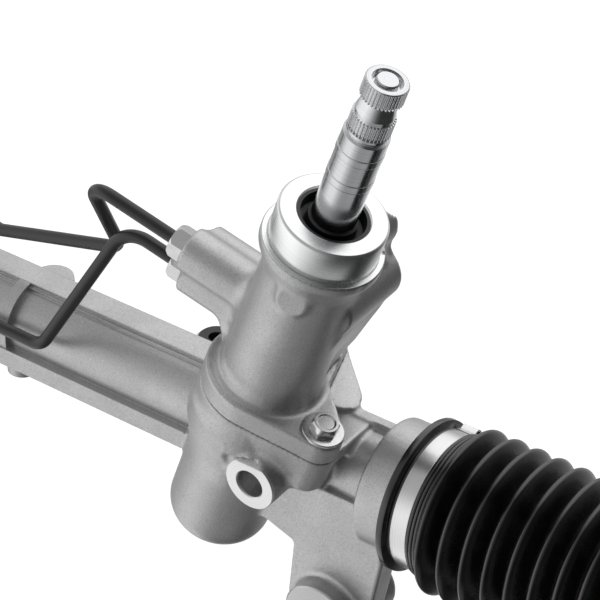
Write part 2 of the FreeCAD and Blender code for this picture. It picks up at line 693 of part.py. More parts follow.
def foot_slab():
    """The foot, drawn in the XZ plane and given its thickness in Y."""
    front = -size("slab_front")
    eye = Vector(size("eye_x"), front, -size("eye_drop"))
    radius = size("eye_radius")
    top = size("slab_top")
    left, right = size("slab_left"), size("slab_right")
    taper = 5
    left_low = Vector(left, front, eye.z * 0.55)
    right_low = Vector(right - 1, front, eye.z * 0.4)
    left_touch = eye + Vector(-radius, 0, 0)
    right_touch = eye + Vector(radius * math.cos(math.radians(18)), 0, radius * math.sin(math.radians(18)))
    bottom = eye + Vector(0, 0, -radius)
    start = Vector(0, front, top)
    boss = Vector(left - 3 * taper, front, eye.z * 0.47)
    edges = [
        Part.LineSegment(start, Vector(right - 2, front, top)).toShape(),
        Part.LineSegment(Vector(right - 2, front, top), right_low).toShape(),
        Part.LineSegment(right_low, right_touch).toShape(),
        Part.Arc(right_touch, bottom, left_touch).toShape(),
        Part.LineSegment(left_touch, left_low).toShape(),
        Part.LineSegment(left_low, boss).toShape(),
        Part.LineSegment(boss, Vector(0, front, boss.z)).toShape(),
        Part.LineSegment(Vector(0, front, boss.z), start).toShape(),
    ]
    return Part.Face(Part.Wire(edges)).extrude(Vector(0, size("slab_depth"), 0))


tower = turned("tower", [
    ("0", "0"), ("tower_radius", "0"), ("tower_radius", "-tower_bottom-6"), ("tower_radius+2.2", "4-tower_bottom"),
    ("block_radius", "17-tower_bottom"), ("block_radius", "26-tower_bottom"),
    ("flange_radius", "joint_height-tower_bottom"), ("0", "joint_height-tower_bottom"),
], on_pinion("tower_bottom"), PINION)
doc.recompute()
tower_bottom_edge = next(
    f"Edge{k}" for k, edge in enumerate(tower.Tip.Shape.Edges, start=1)
    if len(edge.Vertexes) == 1 and abs(edge.CenterOfMass.z) < 1e-6)
tower_lathe = tower.Tip
tower_rounding = tower.newObject("PartDesign::Fillet", "tower_rounding")
tower_rounding.Base = (tower_lathe, [tower_bottom_edge])
tower_rounding.setExpression("Radius", ex("tower_round"))
tower.Tip = tower_rounding

BOSS_U, BOSS_V = "bolt_u", "bolt_v"
casting = fuse("casting", [
    cylinder("cast_tube", "tube_radius", "right_end_x-cast_left_x", ("cast_left_x", "0", "0"), RIGHT),
    cylinder("cast_socket", "cast_socket_radius", "cast_socket_length", ("cast_left_x", "0", "0"), RIGHT),
    cone("cast_socket_cone", "cast_socket_radius", "tube_radius", "10",
         ("cast_left_x+cast_socket_length", "0", "0"), RIGHT),
    box("top_rail", "-cast_left_x", "rail_back+rail_front", "rail_top", ("cast_left_x", "-rail_front", "0")),
    box("top_rail_lip", "-cast_left_x", "rail_lip+1", "4.2",
        ("cast_left_x", "-rail_front-rail_lip", "rail_top-6")),
    box("top_rail_right", "right_end_x-end_collar_length/2", "rail_back-3.8", "rail_top", ("0", "3.8", "0")),
    box("front_rail", "-cast_left_x", "14", "side_rail_height",
        ("cast_left_x", "-side_rail_reach", "side_rail_top-side_rail_height")),
    box("rear_rail", "right_end_x-end_collar_length/2-cast_left_x", "14", "side_rail_height",
        ("cast_left_x", "side_rail_reach-14", "side_rail_top-side_rail_height")),
    cylinder("ring_rib", "rail_top", "rib_width", ("rib_x-rib_width/2", "0", "0"), RIGHT),
    cylinder("rear_lug", "rear_lug_radius", "14", ("rear_lug_x", "rear_lug_y", "rail_top-15.7")),
    cylinder("low_lug", "low_lug_radius", "16", ("low_lug_x", "-11", "-21")),
    tower,
    flange_plate("flange_plate_front", PLATE_LOW, size("flange_depth"), ("flange", "bolt")),
    flange_plate("flange_plate_rear", PLATE_LOW, size("flange_depth"), ("flange", "rear_bolt")),
    flange_plate("flange_plate_corner", PLATE_LOW, size("flange_depth"), ("corner", "rear_bolt")),
    box("ledge", "ledge_right-20", "ledge_front+rail_back", "ledge_depth",
        ("20", "-ledge_front", "ledge_top-ledge_depth")),
    turned("bolt_lobe", [
        ("0", "0"), ("lobe_radius/2", "0"), ("lobe_radius*0.8", "1.2"), ("lobe_radius", "lobe_radius/2"),
        ("lobe_radius", "joint_height-lobe_low"), ("0", "joint_height-lobe_low"),
    ], on_pinion("lobe_low", BOSS_U, BOSS_V), PINION),
    cylinder("end_collar", "end_collar_radius", "end_collar_length",
             ("right_end_x-end_collar_length", "0", "0"), RIGHT),
    shaped("foot", foot_slab()),
    cylinder("eye_boss", "eye_boss_radius", "slab_front+eye_boss_reach+eye_back",
             ("eye_x", "eye_back", "-eye_drop"), FRONT),
    cylinder("pad_boss", "pad_radius", "pad_front-12", ("pad_x", "-12", "pad_z"), FRONT),
    cylinder("guide_boss", "guide_boss_radius", "guide_boss_reach-4", ("0", "4", "0"), BACK),
    cylinder("ear_lobe", "ear_radius", "ear_height", ("ear_x", "ear_y", "ear_z")),
    box("ear_arm", "1.3*ear_radius", "ear_y-10", "ear_height", ("ear_x-0.65*ear_radius", "10", "ear_z")),
])
casting_cuts = [
    cylinder("bar_bore", "tube_bore", "right_end_x-cast_left_x+2", ("cast_left_x-1", "0", "0"), RIGHT),
    cylinder("cylinder_seat", "cylinder_bore+cylinder_wall+fit_gap", "cylinder_insert+1",
             ("cast_left_x-1", "0", "0"), RIGHT),
    cylinder("bush_seat", "bar_bush_radius", "bar_bush_length+1", ("right_end_x-bar_bush_length", "0", "0"), RIGHT),
    cylinder("tower_cavity", "tower_bore", "joint_height-lower_bearing_low+pinion_nut_width+2",
             on_pinion("lower_bearing_low-pinion_nut_width-2"), PINION),
    cylinder("bearing_cavity", "bearing_bore", "joint_height-upper_bearing_low+1",
             on_pinion("upper_bearing_low"), PINION),
    cylinder("bolt_hole", "bolt_shank", "bolt_depth+1", on_pinion("joint_height-bolt_depth", BOSS_U, BOSS_V), PINION),
    cylinder("rear_bolt_hole", "bolt_shank", "bolt_depth+1",
             on_pinion("joint_height-bolt_depth", "rear_bolt_u", "rear_bolt_v"), PINION),
    cylinder("eye_hole", "eye_bore", "slab_front+eye_boss_reach+eye_back+2", ("eye_x", "eye_back+1", "-eye_drop"),
             FRONT),
    cylinder("pad_bore", "pad_hole", "pad_depth+1", ("pad_x", "pad_depth-pad_front", "pad_z"), FRONT),
    box("pad_spotface", "2*pad_radius", "20", "2*pad_radius",
        ("pad_x-pad_radius", "-pad_front-20", "pad_z-pad_radius")),
    cylinder("guide_bore", "guide_radius+fit_gap", "guide_boss_reach+1", ("0", "0", "0"), BACK),
    cylinder("ear_hole", "ear_hole_radius", "ear_height+2", ("ear_x", "ear_y", "ear_z-1")),
    flange_plate("flange_room_front", "joint_height", 12, ("flange", "bolt")),
    flange_plate("flange_room_rear", "joint_height", 12, ("flange", "rear_bolt")),
]
rear_lobe = cylinder("rear_bolt_lobe", "lobe_radius", "bolt_depth+4",
                     on_pinion("joint_height-bolt_depth-4", "rear_bolt_u", "rear_bolt_v"), PINION)
casting.Shapes = casting.Shapes + [rear_lobe]
sub_part("gear_housing", cut("gear_housing", casting, casting_cuts))

# Valve housing, turned about the pinion axis, with the line ports on its left and the feed and return at its rear
valve_core = turned("valve_core", [
    ("0", "0"), ("bearing_bore-fit_gap", "0"), ("bearing_bore-fit_gap", "spigot_depth"),
    ("flange_radius-1", "spigot_depth"), ("flange_radius-1", "valve_flange_top-joint_height+spigot_depth-1"),
    ("valve_radius_low+2.5", "valve_flange_top-joint_height+spigot_depth"),
    ("valve_radius_low", "valve_flange_top-joint_height+spigot_depth+3"),
    ("valve_radius_high", "valve_neck-joint_height+spigot_depth"),
    ("ring_radius", "ring_height-ring_depth-joint_height+spigot_depth"),
    ("ring_radius", "ring_height-joint_height+spigot_depth"),
    ("collar_radius", "ring_height-joint_height+spigot_depth"),
    ("collar_radius", "collar_top-collar_chamfer-joint_height+spigot_depth"),
    ("collar_radius-collar_chamfer", "collar_top-joint_height+spigot_depth"),
    ("0", "collar_top-joint_height+spigot_depth"),
], on_pinion("joint_height-spigot_depth"), PINION)


def port_turn():
    """Turn that carries +Z to the line ports' outward direction."""
    lean = math.radians(size("pinion_tilt"))
    yaw = math.radians(size("port_yaw"))
    outward = Vector(-math.cos(lean) * math.cos(yaw), -math.sin(yaw), math.sin(lean) * math.cos(yaw))
    return FreeCAD.Rotation(Vector(0, 0, 1), outward), outward


PORT_ROTATION, PORT_OUTWARD = port_turn()


def pinion_point(height, across, behind):
    """The same point as on_pinion gives, as numbers."""
    lean = math.radians(size("pinion_tilt"))
    return Vector(height * math.sin(lean) + across * math.cos(lean), behind - size("pinion_offset"),
                  height * math.cos(lean) - across * math.sin(lean))


def port_axis_point(height, behind, reach):
    """The point of a line port's axis at this distance from the pinion axis."""
    face = size("port_face")
    yaw = math.radians(size("port_yaw"))
    return pinion_point(height, -face, behind) + PORT_OUTWARD * ((reach - face) / math.cos(yaw))


def port_cylinder(name, radius, height, behind, inner, outer):
    """A cylinder along a line port's axis between two distances from the pinion axis."""
    start = port_axis_point(height, behind, inner)
    length = (outer - inner) / math.cos(math.radians(size("port_yaw")))
    piece = doc.addObject("Part::Feature", name)
    piece.Shape = Part.makeCylinder(radius, length, start, PORT_OUTWARD)
    return piece


FACE = size("port_face")
LONG_HEIGHT, SHORT_HEIGHT = size("port_long_height"), size("port_short_height")
SHORT_BACK = size("port_short_back")
PORT_SIZE = size("port_radius")


def port_block():
    """The three lobes of the line ports' boss, joined by flat sides."""
    web_height, web_back = size("port_web_height"), size("port_web_back")
    centres = [(LONG_HEIGHT, 0.0), (SHORT_HEIGHT, SHORT_BACK), (web_height, web_back)]
    lobes = [port_cylinder(f"port_lobe_{k}", PORT_SIZE - 0.8 * (k == 2), height, behind, 6, FACE - 1.5 * (k == 2))
             for k, (height, behind) in enumerate(centres)]
    webs = []
    for k, (first, second) in enumerate(((0, 1), (1, 2), (2, 0))):
        (high, back), (low, back_low) = centres[first], centres[second]
        start = port_axis_point(high, back, 6)
        end = port_axis_point(low, back_low, 6)
        across = end - start
        side = across.cross(PORT_OUTWARD).normalize() * (PORT_SIZE - 1.6)
        corners = [start + side, end + side, end - side, start - side]
        face = Part.Face(Part.makePolygon(corners + corners[:1]))
        web = doc.addObject("Part::Feature", f"port_web_{k}")
        web.Shape = face.extrude(PORT_OUTWARD * (FACE - 8.5))
        webs.append(web)
    return lobes + webs


rear_ports = []
rear_port_cuts = []
for name in ("feed", "return"):
    rear_ports.append(cylinder(f"{name}_boss", f"{name}_radius", "rear_port_reach",
                               on_pinion(f"{name}_height", f"{name}_u"), BACK))
    rear_port_cuts.append(cylinder(f"{name}_port", f"{name}_thread", "rear_port_depth+1",
                                   on_pinion(f"{name}_height", f"{name}_u", "rear_port_reach-rear_port_depth"), BACK))
    rear_port_cuts.append(cylinder(f"{name}_drill", "3.5", "rear_port_reach",
                                   on_pinion(f"{name}_height", f"{name}_u"), BACK))


def rear_web():
    """The web behind the valve body, from the feed port down to the flange."""
    feed, back, low = size("feed_height"), size("return_height"), size("web_low_height")
    feed_u, return_u, low_u = size("feed_u"), size("return_u"), size("web_low_u")
    corners = [(feed, feed_u - 9), (feed, feed_u + 9), (back + 4, return_u + 11), (back - 9, return_u + 11.5),
               (low + 16, low_u + 4), (low, low_u), (low, low_u - 22)]
    outline = [pinion_point(height, across, 0) for height, across in corners]
    face = Part.Face(Part.makePolygon(outline + outline[:1]))
    return face.extrude(Vector(0, size("web_reach"), 0))


def raised_disc():
    """The flat disc on the front of the valve body."""
    turn = math.radians(size("disc_turn"))
    axis_point = pinion_point(size("disc_height"), 0, 0)
    outward = pinion_point(size("disc_height"), math.sin(turn), -math.cos(turn)) - axis_point
    start = size("disc_face") - 4
    return Part.makeCylinder(size("disc_radius"), size("disc_face") - start, axis_point + outward * start, outward)


VALVE_FLANGE_DEPTH = size("valve_flange_top") - size("joint_height")
collar_relief = cut("collar_room", cylinder("relief_outside", "collar_radius+collar_relief", "collar_top-ring_height",
                                            on_pinion("ring_height"), PINION),
                    [cylinder("relief_inside", "collar_radius", "collar_top-ring_height+2",
                              on_pinion("ring_height-1"), PINION)])
valve_casting = fuse("valve_casting", [
    valve_core,
    flange_plate("valve_flange_front", "joint_height", VALVE_FLANGE_DEPTH, ("flange", "bolt")),
    flange_plate("valve_flange_rear", "joint_height", VALVE_FLANGE_DEPTH, ("flange", "rear_bolt")),
    shaped("rear_web", rear_web()),
    shaped("raised_disc", raised_disc()),
] + port_block() + rear_ports)
valve_cuts = [
    collar_relief,
    cylinder("valve_cavity", "valve_bore", "seal_seat-joint_height-spigot_depth-1",
             on_pinion("joint_height+2"), PINION),
    cylinder("spigot_bore", "pinion_head_radius+1", "20", on_pinion("joint_height-spigot_depth-1"), PINION),
    cylinder("seal_cavity", "seal_bore", "collar_top-seal_seat+1", on_pinion("seal_seat"), PINION),
    cylinder("shaft_way", "journal_radius+1", "20", on_pinion("seal_seat-10"), PINION),
    cylinder("valve_bolt_hole", "bolt_shank+0.3", "valve_flange_top-joint_height+2",
             on_pinion("joint_height-1", BOSS_U, BOSS_V), PINION),
    cylinder("valve_rear_bolt_hole", "bolt_shank+0.3", "valve_flange_top-joint_height+2",
             on_pinion("joint_height-1", "rear_bolt_u", "rear_bolt_v"), PINION),
    port_cylinder("long_port", size("port_thread"), LONG_HEIGHT, 0, FACE - size("port_depth"), FACE + 1),
    port_cylinder("short_port", size("port_thread"), SHORT_HEIGHT, SHORT_BACK, FACE - size("port_depth"), FACE + 1),
    port_cylinder("long_drill", size("line_bore"), LONG_HEIGHT, 0, 12, FACE),
    port_cylinder("short_drill", size("line_bore"), SHORT_HEIGHT, SHORT_BACK, 12, FACE),
] + rear_port_cuts
sub_part("valve_housing", cut("valve_housing", valve_casting, valve_cuts))

# Joint hardware: two flange bolts and the o-ring in the spigot's corner
bolt_solids = []
for name, u, v in (("front", BOSS_U, BOSS_V), ("rear", "rear_bolt_u", "rear_bolt_v")):
    bolt_solids.append(fuse(f"{name}_bolt", [
        cylinder(f"{name}_bolt_shank", "bolt_shank-fit_gap", "bolt_depth+valve_flange_top-joint_height-1",
                 on_pinion("joint_height-bolt_depth+1", u, v), PINION),
        cylinder(f"{name}_bolt_flange", "washer_radius", "washer_depth", on_pinion("valve_flange_top", u, v), PINION),
        hexagon(f"{name}_bolt_head", "bolt_flats", "bolt_head", on_pinion("valve_flange_top", u, v), PINION),
    ]))
bolts = doc.addObject("Part::Compound", "flange_bolts")
bolts.Links = bolt_solids
sub_part("flange_bolts", bolts)
o_ring = doc.addObject("Part::Torus", "flange_o_ring")
o_ring.setExpression("Radius1", ex("bearing_bore-o_ring_radius-0.2"))
o_ring.setExpression("Radius2", ex("o_ring_radius-0.05"))
place(o_ring, on_pinion("joint_height-spigot_depth-o_ring_radius"), PINION)
sub_part("flange_o_ring", o_ring)

# Pinion with its head and journals
TEETH_TOP = "pinion_face/2"
pinion_shaft = turned("pinion_shaft", [
    ("0", "0"), ("lower_journal-1", "0"), ("lower_journal-1", "pinion_nut_width+1"),
    ("lower_journal", "pinion_nut_width+1"), ("lower_journal", "pinion_nut_width+lower_bearing_width+1"),
    ("lower_journal+1.2", "pinion_nut_width+lower_bearing_width+1"),
    ("lower_journal+1.2", "pinion_nut_width+1-lower_bearing_low+upper_bearing_low-1"),
    ("upper_journal", "pinion_nut_width+1-lower_bearing_low+upper_bearing_low-1"),
    ("upper_journal", "pinion_nut_width+1-lower_bearing_low+upper_bearing_low+upper_bearing_width"),
    ("pinion_head_radius", "pinion_nut_width+1-lower_bearing_low+upper_bearing_low+upper_bearing_width+1"),
    ("pinion_head_radius", "pinion_nut_width+1-lower_bearing_low+pinion_head"),
    ("0", "pinion_nut_width+1-lower_bearing_low+pinion_head"),
], on_pinion("lower_bearing_low-pinion_nut_width-1"), PINION)
teeth = shaped("teeth", pinion_teeth(), on_pinion("-pinion_face/2"), PINION)
torsion_socket = cylinder("torsion_socket", "torsion_end+fit_gap", "pinion_head-torsion_bottom+2",
                          on_pinion("torsion_bottom-1"), PINION)
sub_part("pinion", cut("pinion", fuse("pinion_solid", [pinion_shaft, teeth]), [torsion_socket]))

for name, low, width, bore, outside in (
        ("pinion_bearing_upper", "upper_bearing_low", "upper_bearing_width", "upper_journal", "bearing_bore"),
        ("pinion_bearing_lower", "lower_bearing_low", "lower_bearing_width", "lower_journal", "tower_bore"),
        ("valve_bearing", "valve_bearing_low", "valve_bearing_width", "journal_radius", "valve_bore")):
    step = f"({outside}-{bore})/4"
    sub_part(name, turned(name, [
        (f"{bore}+fit_gap", "0"), (f"{bore}+{step}", "0"), (f"{bore}+{step}", "0.6"),
        (f"{outside}-{step}", "0.6"), (f"{outside}-{step}", "0"), (outside, "0"),
        (outside, width), (f"{outside}-{step}", width), (f"{outside}-{step}", f"{width}-0.6"),
        (f"{bore}+{step}", f"{width}-0.6"), (f"{bore}+{step}", width), (f"{bore}+fit_gap", width),
    ], on_pinion(low), PINION))
pinion_nut_blank = hexagon("pinion_nut_blank", "17", "pinion_nut_width-0.3",
                           on_pinion("lower_bearing_low-pinion_nut_width+0.1"), PINION)
pinion_nut_hole = cylinder("pinion_nut_hole", "lower_journal-1", "pinion_nut_width+2",
                           on_pinion("lower_bearing_low-pinion_nut_width-1"), PINION)
sub_part("pinion_nut", cut("pinion_nut", pinion_nut_blank, [pinion_nut_hole]))

# Valve sleeve, pressed on the pinion's head, with its seal rings
SLEEVE_RADIUS = "(valve_bore-sleeve_gap)"
sleeve_length = size("sleeve_top") - size("sleeve_bottom")
ring_total = int(size("sleeve_rings"))
RING_STEP = "(sleeve_top-sleeve_bottom)/(sleeve_rings+1)"
sleeve_profile = [
    ("pinion_head_radius", "0"), (SLEEVE_RADIUS, "0"),
]
for k in range(1, ring_total + 1):
    low, high = f"{k}*{RING_STEP}-sleeve_ring_width/2", f"{k}*{RING_STEP}+sleeve_ring_width/2"
    sleeve_profile += [(SLEEVE_RADIUS, low), (f"{SLEEVE_RADIUS}-sleeve_ring_depth", low),
                       (f"{SLEEVE_RADIUS}-sleeve_ring_depth", high), (SLEEVE_RADIUS, high)]
sleeve_profile += [
    (SLEEVE_RADIUS, "sleeve_top-sleeve_bottom"), ("journal_radius+fit_gap", "sleeve_top-sleeve_bottom"),
    ("journal_radius+fit_gap", "pinion_head-sleeve_bottom+1"),
    ("pinion_head_radius", "pinion_head-sleeve_bottom+1"),
]
sub_part("valve_sleeve", turned("valve_sleeve", sleeve_profile, on_pinion("sleeve_bottom"), PINION))
rings = []
for k in range(1, ring_total + 1):
    height = f"sleeve_bottom+{k}*{RING_STEP}-sleeve_ring_width/2+0.1"
    outer = cylinder(f"sleeve_ring_{k}_outer", "valve_bore-fit_gap", "sleeve_ring_width-0.2",
                     on_pinion(height), PINION)
    inner = cylinder(f"sleeve_ring_{k}_inner", f"{SLEEVE_RADIUS}-sleeve_ring_depth", "sleeve_ring_width+1",
                     on_pinion(f"{height}-0.5"), PINION)
    rings.append(cut(f"sleeve_ring_{k}", outer, [inner]))
sleeve_rings = doc.addObject("Part::Compound", "sleeve_seal_rings")
sleeve_rings.Links = rings
sub_part("sleeve_seal_rings", sleeve_rings)

# Input shaft: journal in the valve, plain part with two turned bands, spline bands and the pinch groove
LOW = "shaft_bottom"
shaft_core = turned("shaft_core", [
    ("torsion_end+fit_gap", "0"), ("journal_radius", "0"),
    ("journal_radius", f"valve_bearing_low+valve_bearing_width+1-{LOW}"),
    ("shaft_radius", f"valve_bearing_low+valve_bearing_width+2-{LOW}"),
    ("shaft_radius", f"lower_band-{LOW}"), ("shaft_radius+ring_band", f"lower_band+0.3-{LOW}"),
    ("shaft_radius+ring_band", f"lower_band+band_width-{LOW}"), ("shaft_radius", f"lower_band+band_width-{LOW}"),
    ("shaft_radius", f"upper_band-{LOW}"), ("shaft_radius+ring_band", f"upper_band+0.3-{LOW}"),
    ("shaft_radius+ring_band", f"upper_band+band_width-{LOW}"), ("shaft_radius", f"upper_band+band_width-{LOW}"),
    ("shaft_radius", f"band_bottom-3-{LOW}"), ("spline_root", f"band_bottom-2.2-{LOW}"),
    ("spline_root", f"band_bottom-1.4-{LOW}"), ("spline_radius", f"band_bottom-1.2-{LOW}"),
    ("spline_radius", f"band_bottom-{LOW}"), ("spline_root", f"band_bottom-{LOW}"),
    ("spline_root", f"band_top-{LOW}"), ("spline_root-0.1", f"band_top+2-{LOW}"),
    ("spline_root-0.6", f"band_top+4.4-{LOW}"), ("neck_radius+0.5", f"band_top+6.8-{LOW}"),
    ("neck_radius", f"head_bottom-0.9-{LOW}"), ("neck_radius", f"head_bottom-{LOW}"),
    ("spline_root", f"head_bottom-{LOW}"), ("spline_root", f"shaft_top-0.6-{LOW}"),
    ("spline_radius-0.3", f"shaft_top-0.5-{LOW}"), ("spline_radius-0.3", f"shaft_top-0.25-{LOW}"),
    ("spline_root", f"shaft_top-{LOW}"), ("recess_radius", f"shaft_top-{LOW}"),
    ("recess_radius", f"shaft_top-recess_depth-{LOW}"), ("torsion_head", f"shaft_top-recess_depth-{LOW}"),
    ("torsion_head", f"head_bottom-4-{LOW}"), ("torsion_end+fit_gap", f"head_bottom-4-{LOW}"),
], on_pinion(LOW), PINION)
head_splines = shaped("head_splines", spline_prism(size("shaft_top") - size("head_bottom") - 0.5),
                      on_pinion("head_bottom"), PINION)
band_splines = shaped("band_splines", spline_prism(size("band_top") - size("band_bottom")),
                      on_pinion("band_bottom"), PINION)
spline_hollow = cylinder("spline_hollow", "spline_root-0.4", "shaft_top-band_bottom+2",
                         on_pinion("band_bottom-1"), PINION)
spline_bands = cut("spline_bands", fuse("spline_pair", [head_splines, band_splines]), [spline_hollow])
sub_part("input_shaft", fuse("input_shaft", [shaft_core, spline_bands]))

# Torsion bar inside the input shaft, turning in the pinion at its lower end
T_LOW = "torsion_bottom"
sub_part("torsion_bar", turned("torsion_bar", [
    ("0", "0"), ("torsion_end", "0"), ("torsion_end", "20"), ("torsion_radius", "21"),
    ("torsion_radius", f"head_bottom-3.8-{T_LOW}"), ("torsion_head", f"head_bottom-3.8-{T_LOW}"),
    ("torsion_head", f"shaft_top+torsion_proud-0.5-{T_LOW}"),
    ("torsion_head-0.5", f"shaft_top+torsion_proud-{T_LOW}"), ("0", f"shaft_top+torsion_proud-{T_LOW}"),
], on_pinion(T_LOW), PINION))

# Shaft seal with its dust lip
sub_part("shaft_seal", turned("shaft_seal", [
    ("shaft_radius+fit_gap", "6"), ("shaft_radius+3", "5"), ("shaft_radius+3", "0"), ("seal_bore", "0"),
    ("seal_bore", "collar_top-seal_seat-0.8"), ("seal_bore-1.2", "collar_top-seal_seat-0.8"),
    ("seal_bore-1.6", "collar_top-seal_seat-6"), ("shaft_radius+1.4", "collar_top-seal_seat-6.5"),
    ("shaft_radius+0.9", "collar_top-seal_seat-1.6"), ("shaft_radius+fit_gap", "collar_top-seal_seat-1"),
], on_pinion("seal_seat"), PINION))

# Rack guide with its liner, spring, plug and lock nut
guide_blank = cylinder("guide_blank", "guide_radius", "guide_back-2", ("0", "2", "0"), BACK)
guide_groove = cylinder("guide_groove", "bar_radius+liner_thickness+fit_gap", "4*guide_radius",
                        ("-2*guide_radius", "0", "0"), RIGHT)
guide_pocket = cylinder("guide_pocket", "spring_coil+spring_wire+0.6", "8", ("0", "guide_back-7", "0"), BACK)
sub_part("rack_guide", cut("rack_guide", guide_blank, [guide_groove, guide_pocket]))
liner_tube = cylinder("liner_tube", "bar_radius+liner_thickness+fit_gap", "1.6*guide_radius",
                      ("-0.8*guide_radius", "0", "0"), RIGHT)
liner_bore = cylinder("liner_bore", "bar_radius+fit_gap", "2*guide_radius", ("-guide_radius", "0", "0"), RIGHT)
liner_side = box("liner_side", "2*guide_radius", "2*guide_radius", "1.2*guide_radius",
                 ("-guide_radius", "5", "-0.6*guide_radius"))
liner_arc = common("liner_arc", cut("liner_ring", liner_tube, [liner_bore]), liner_side)
sub_part("guide_liner", liner_arc)
PLUG_FACE = "guide_boss_reach-plug_thickness"


def guide_spring():
    """The coil spring between the guide's pocket and the plug."""
    low = size("guide_back") - 7
    high = size("guide_boss_reach") - size("plug_thickness")
    wire, coil = size("spring_wire"), size("spring_coil")
    rise = high - low - 2 * wire - 0.1
    helix = Part.makeHelix(rise / size("spring_turns"), rise, coil)
    corners = [Vector(coil + wire * math.cos(math.radians(45 * k)), 0, wire * math.sin(math.radians(45 * k)))
               for k in range(9)]
    section = Part.makePolygon(corners)
    return Part.Wire(helix.Edges).makePipeShell([section], True, True)


sub_part("guide_spring", shaped("guide_spring", guide_spring(), ("0", "guide_back-6.95+spring_wire", "0"), BACK))
plug = cylinder("plug_thread", "guide_radius-fit_gap", "plug_thickness+plug_head", ("0", PLUG_FACE, "0"), BACK)
plug_socket = hexagon("plug_socket", "14", "plug_head", ("0", "guide_boss_reach+1", "0"), BACK)
sub_part("guide_plug", cut("guide_plug", plug, [plug_socket]))
lock_blank = hexagon("lock_blank", "36", "plug_head-1", ("0", "guide_boss_reach", "0"), BACK)
lock_hole = cylinder("lock_hole", "guide_radius", "plug_head+1", ("0", "guide_boss_reach-1", "0"), BACK)
sub_part("guide_lock_nut", cut("guide_lock_nut", lock_blank, [lock_hole]))

# Sleeve and rubber of the mounting eye, and the rubber grommet in the rear ear
EYE_LENGTH = "slab_front+eye_boss_reach+eye_back"
sub_part("eye_rubber", turned("eye_rubber", [
    ("sleeve_radius", "0"), ("eye_bore", "0"), ("eye_bore", EYE_LENGTH), ("sleeve_radius", EYE_LENGTH),
], ("eye_x", "eye_back", "-eye_drop"), FRONT))
sub_part("eye_sleeve", turned("eye_sleeve", [
    ("sleeve_bore", "0"), ("sleeve_radius", "0"), ("sleeve_radius", f"{EYE_LENGTH}+2"),
    ("sleeve_bore", f"{EYE_LENGTH}+2"),
], ("eye_x", "eye_back+1", "-eye_drop"), FRONT))
sub_part("rear_grommet", turned("rear_grommet", [
    ("grommet_bore", "0"), ("ear_hole_radius+2", "0"), ("ear_hole_radius+2", "1.5"), ("ear_hole_radius", "1.5"),
    ("ear_hole_radius", "ear_height+1.5"), ("ear_hole_radius+2", "ear_height+1.5"),
    ("ear_hole_radius+2", "ear_height+3"), ("grommet_bore", "ear_height+3"),
], ("ear_x", "ear_y", "ear_z-1.5")))

# Hydraulic lines from the valve ports to the cylinder ports
NUT_ROOT = FACE - size("nut_stub")


PORT_TOP = size("cylinder_port_top")
OVER_PORT = PORT_TOP + 22
SEATED = PORT_TOP - size("nut_stub")
SHORT_Y, SHORT_Z = size("short_line_y"), size("short_line_z")
LONG_Y, LONG_Z = size("long_line_y"), size("long_line_z")
LEFT_X, RIGHT_X = size("left_port_x"), size("right_port_x")
LONG_ROUTE = [
    port_axis_point(LONG_HEIGHT, 0, NUT_ROOT), port_axis_point(LONG_HEIGHT, 0, FACE + 51.5),
    Vector(-76, 0, 60.5), Vector(-147, 0, 42), Vector(-190, LONG_Y, LONG_Z),
    Vector(LEFT_X + 44, LONG_Y, LONG_Z), Vector(LEFT_X + 26, 2, OVER_PORT),
    Vector(LEFT_X, 0, OVER_PORT), Vector(LEFT_X, 0, SEATED),
]
SHORT_ROUTE = [
    port_axis_point(SHORT_HEIGHT, SHORT_BACK, NUT_ROOT), port_axis_point(SHORT_HEIGHT, SHORT_BACK, FACE + 32),
    Vector(-103, SHORT_Y, SHORT_Z), Vector(RIGHT_X + 66, SHORT_Y, SHORT_Z),
    Vector(RIGHT_X + 50, SHORT_Y, SHORT_Z + 22), Vector(RIGHT_X + 26, -6, OVER_PORT),
    Vector(RIGHT_X, 0, OVER_PORT), Vector(RIGHT_X, 0, SEATED),
]
sub_part("line_long", shaped("line_long", steel_line(LONG_ROUTE, "line_bend")))
sub_part("line_short", shaped("line_short", steel_line(SHORT_ROUTE, "short_line_bend")))


def flare_nut(seat, outward):
    """A flare nut: hexagon outside the port, threaded stub inside it, bored for the line."""
    flats, length, stub = size("nut_flats"), size("nut_length"), size("nut_stub")
    corner = flats / math.sqrt(3)
    points = [Vector(corner * math.cos(math.radians(60 * k)), corner * math.sin(math.radians(60 * k)), 0)
              for k in range(7)]
    hexagon_solid = Part.Face(Part.makePolygon(points)).extrude(Vector(0, 0, length))
    rounding = Part.makeCone(corner + 3.2, corner - 0.9, length, Vector(0, 0, 0), Vector(0, 0, 1))
    threaded = Part.makeCylinder(size("port_thread") - size("fit_gap"), stub, Vector(0, 0, -stub), Vector(0, 0, 1))
    bore = Part.makeCylinder(size("line_radius") + size("fit_gap"), length + stub + 2, Vector(0, 0, -stub - 1),
                             Vector(0, 0, 1))
    nut = hexagon_solid.common(rounding).fuse(threaded).cut(bore).removeSplitter()
    nut.Placement = FreeCAD.Placement(seat, FreeCAD.Rotation(Vector(0, 0, 1), outward))
    return nut


NUT_SEATS = [
    (port_axis_point(LONG_HEIGHT, 0, FACE), PORT_OUTWARD),
    (port_axis_point(SHORT_HEIGHT, SHORT_BACK, FACE), PORT_OUTWARD),
    (Vector(LEFT_X, 0, PORT_TOP), Vector(0, 0, 1)),
    (Vector(RIGHT_X, 0, PORT_TOP), Vector(0, 0, 1)),
]
sub_part("flare_nuts", shaped("flare_nuts", Part.Compound([flare_nut(*seat) for seat in NUT_SEATS])))

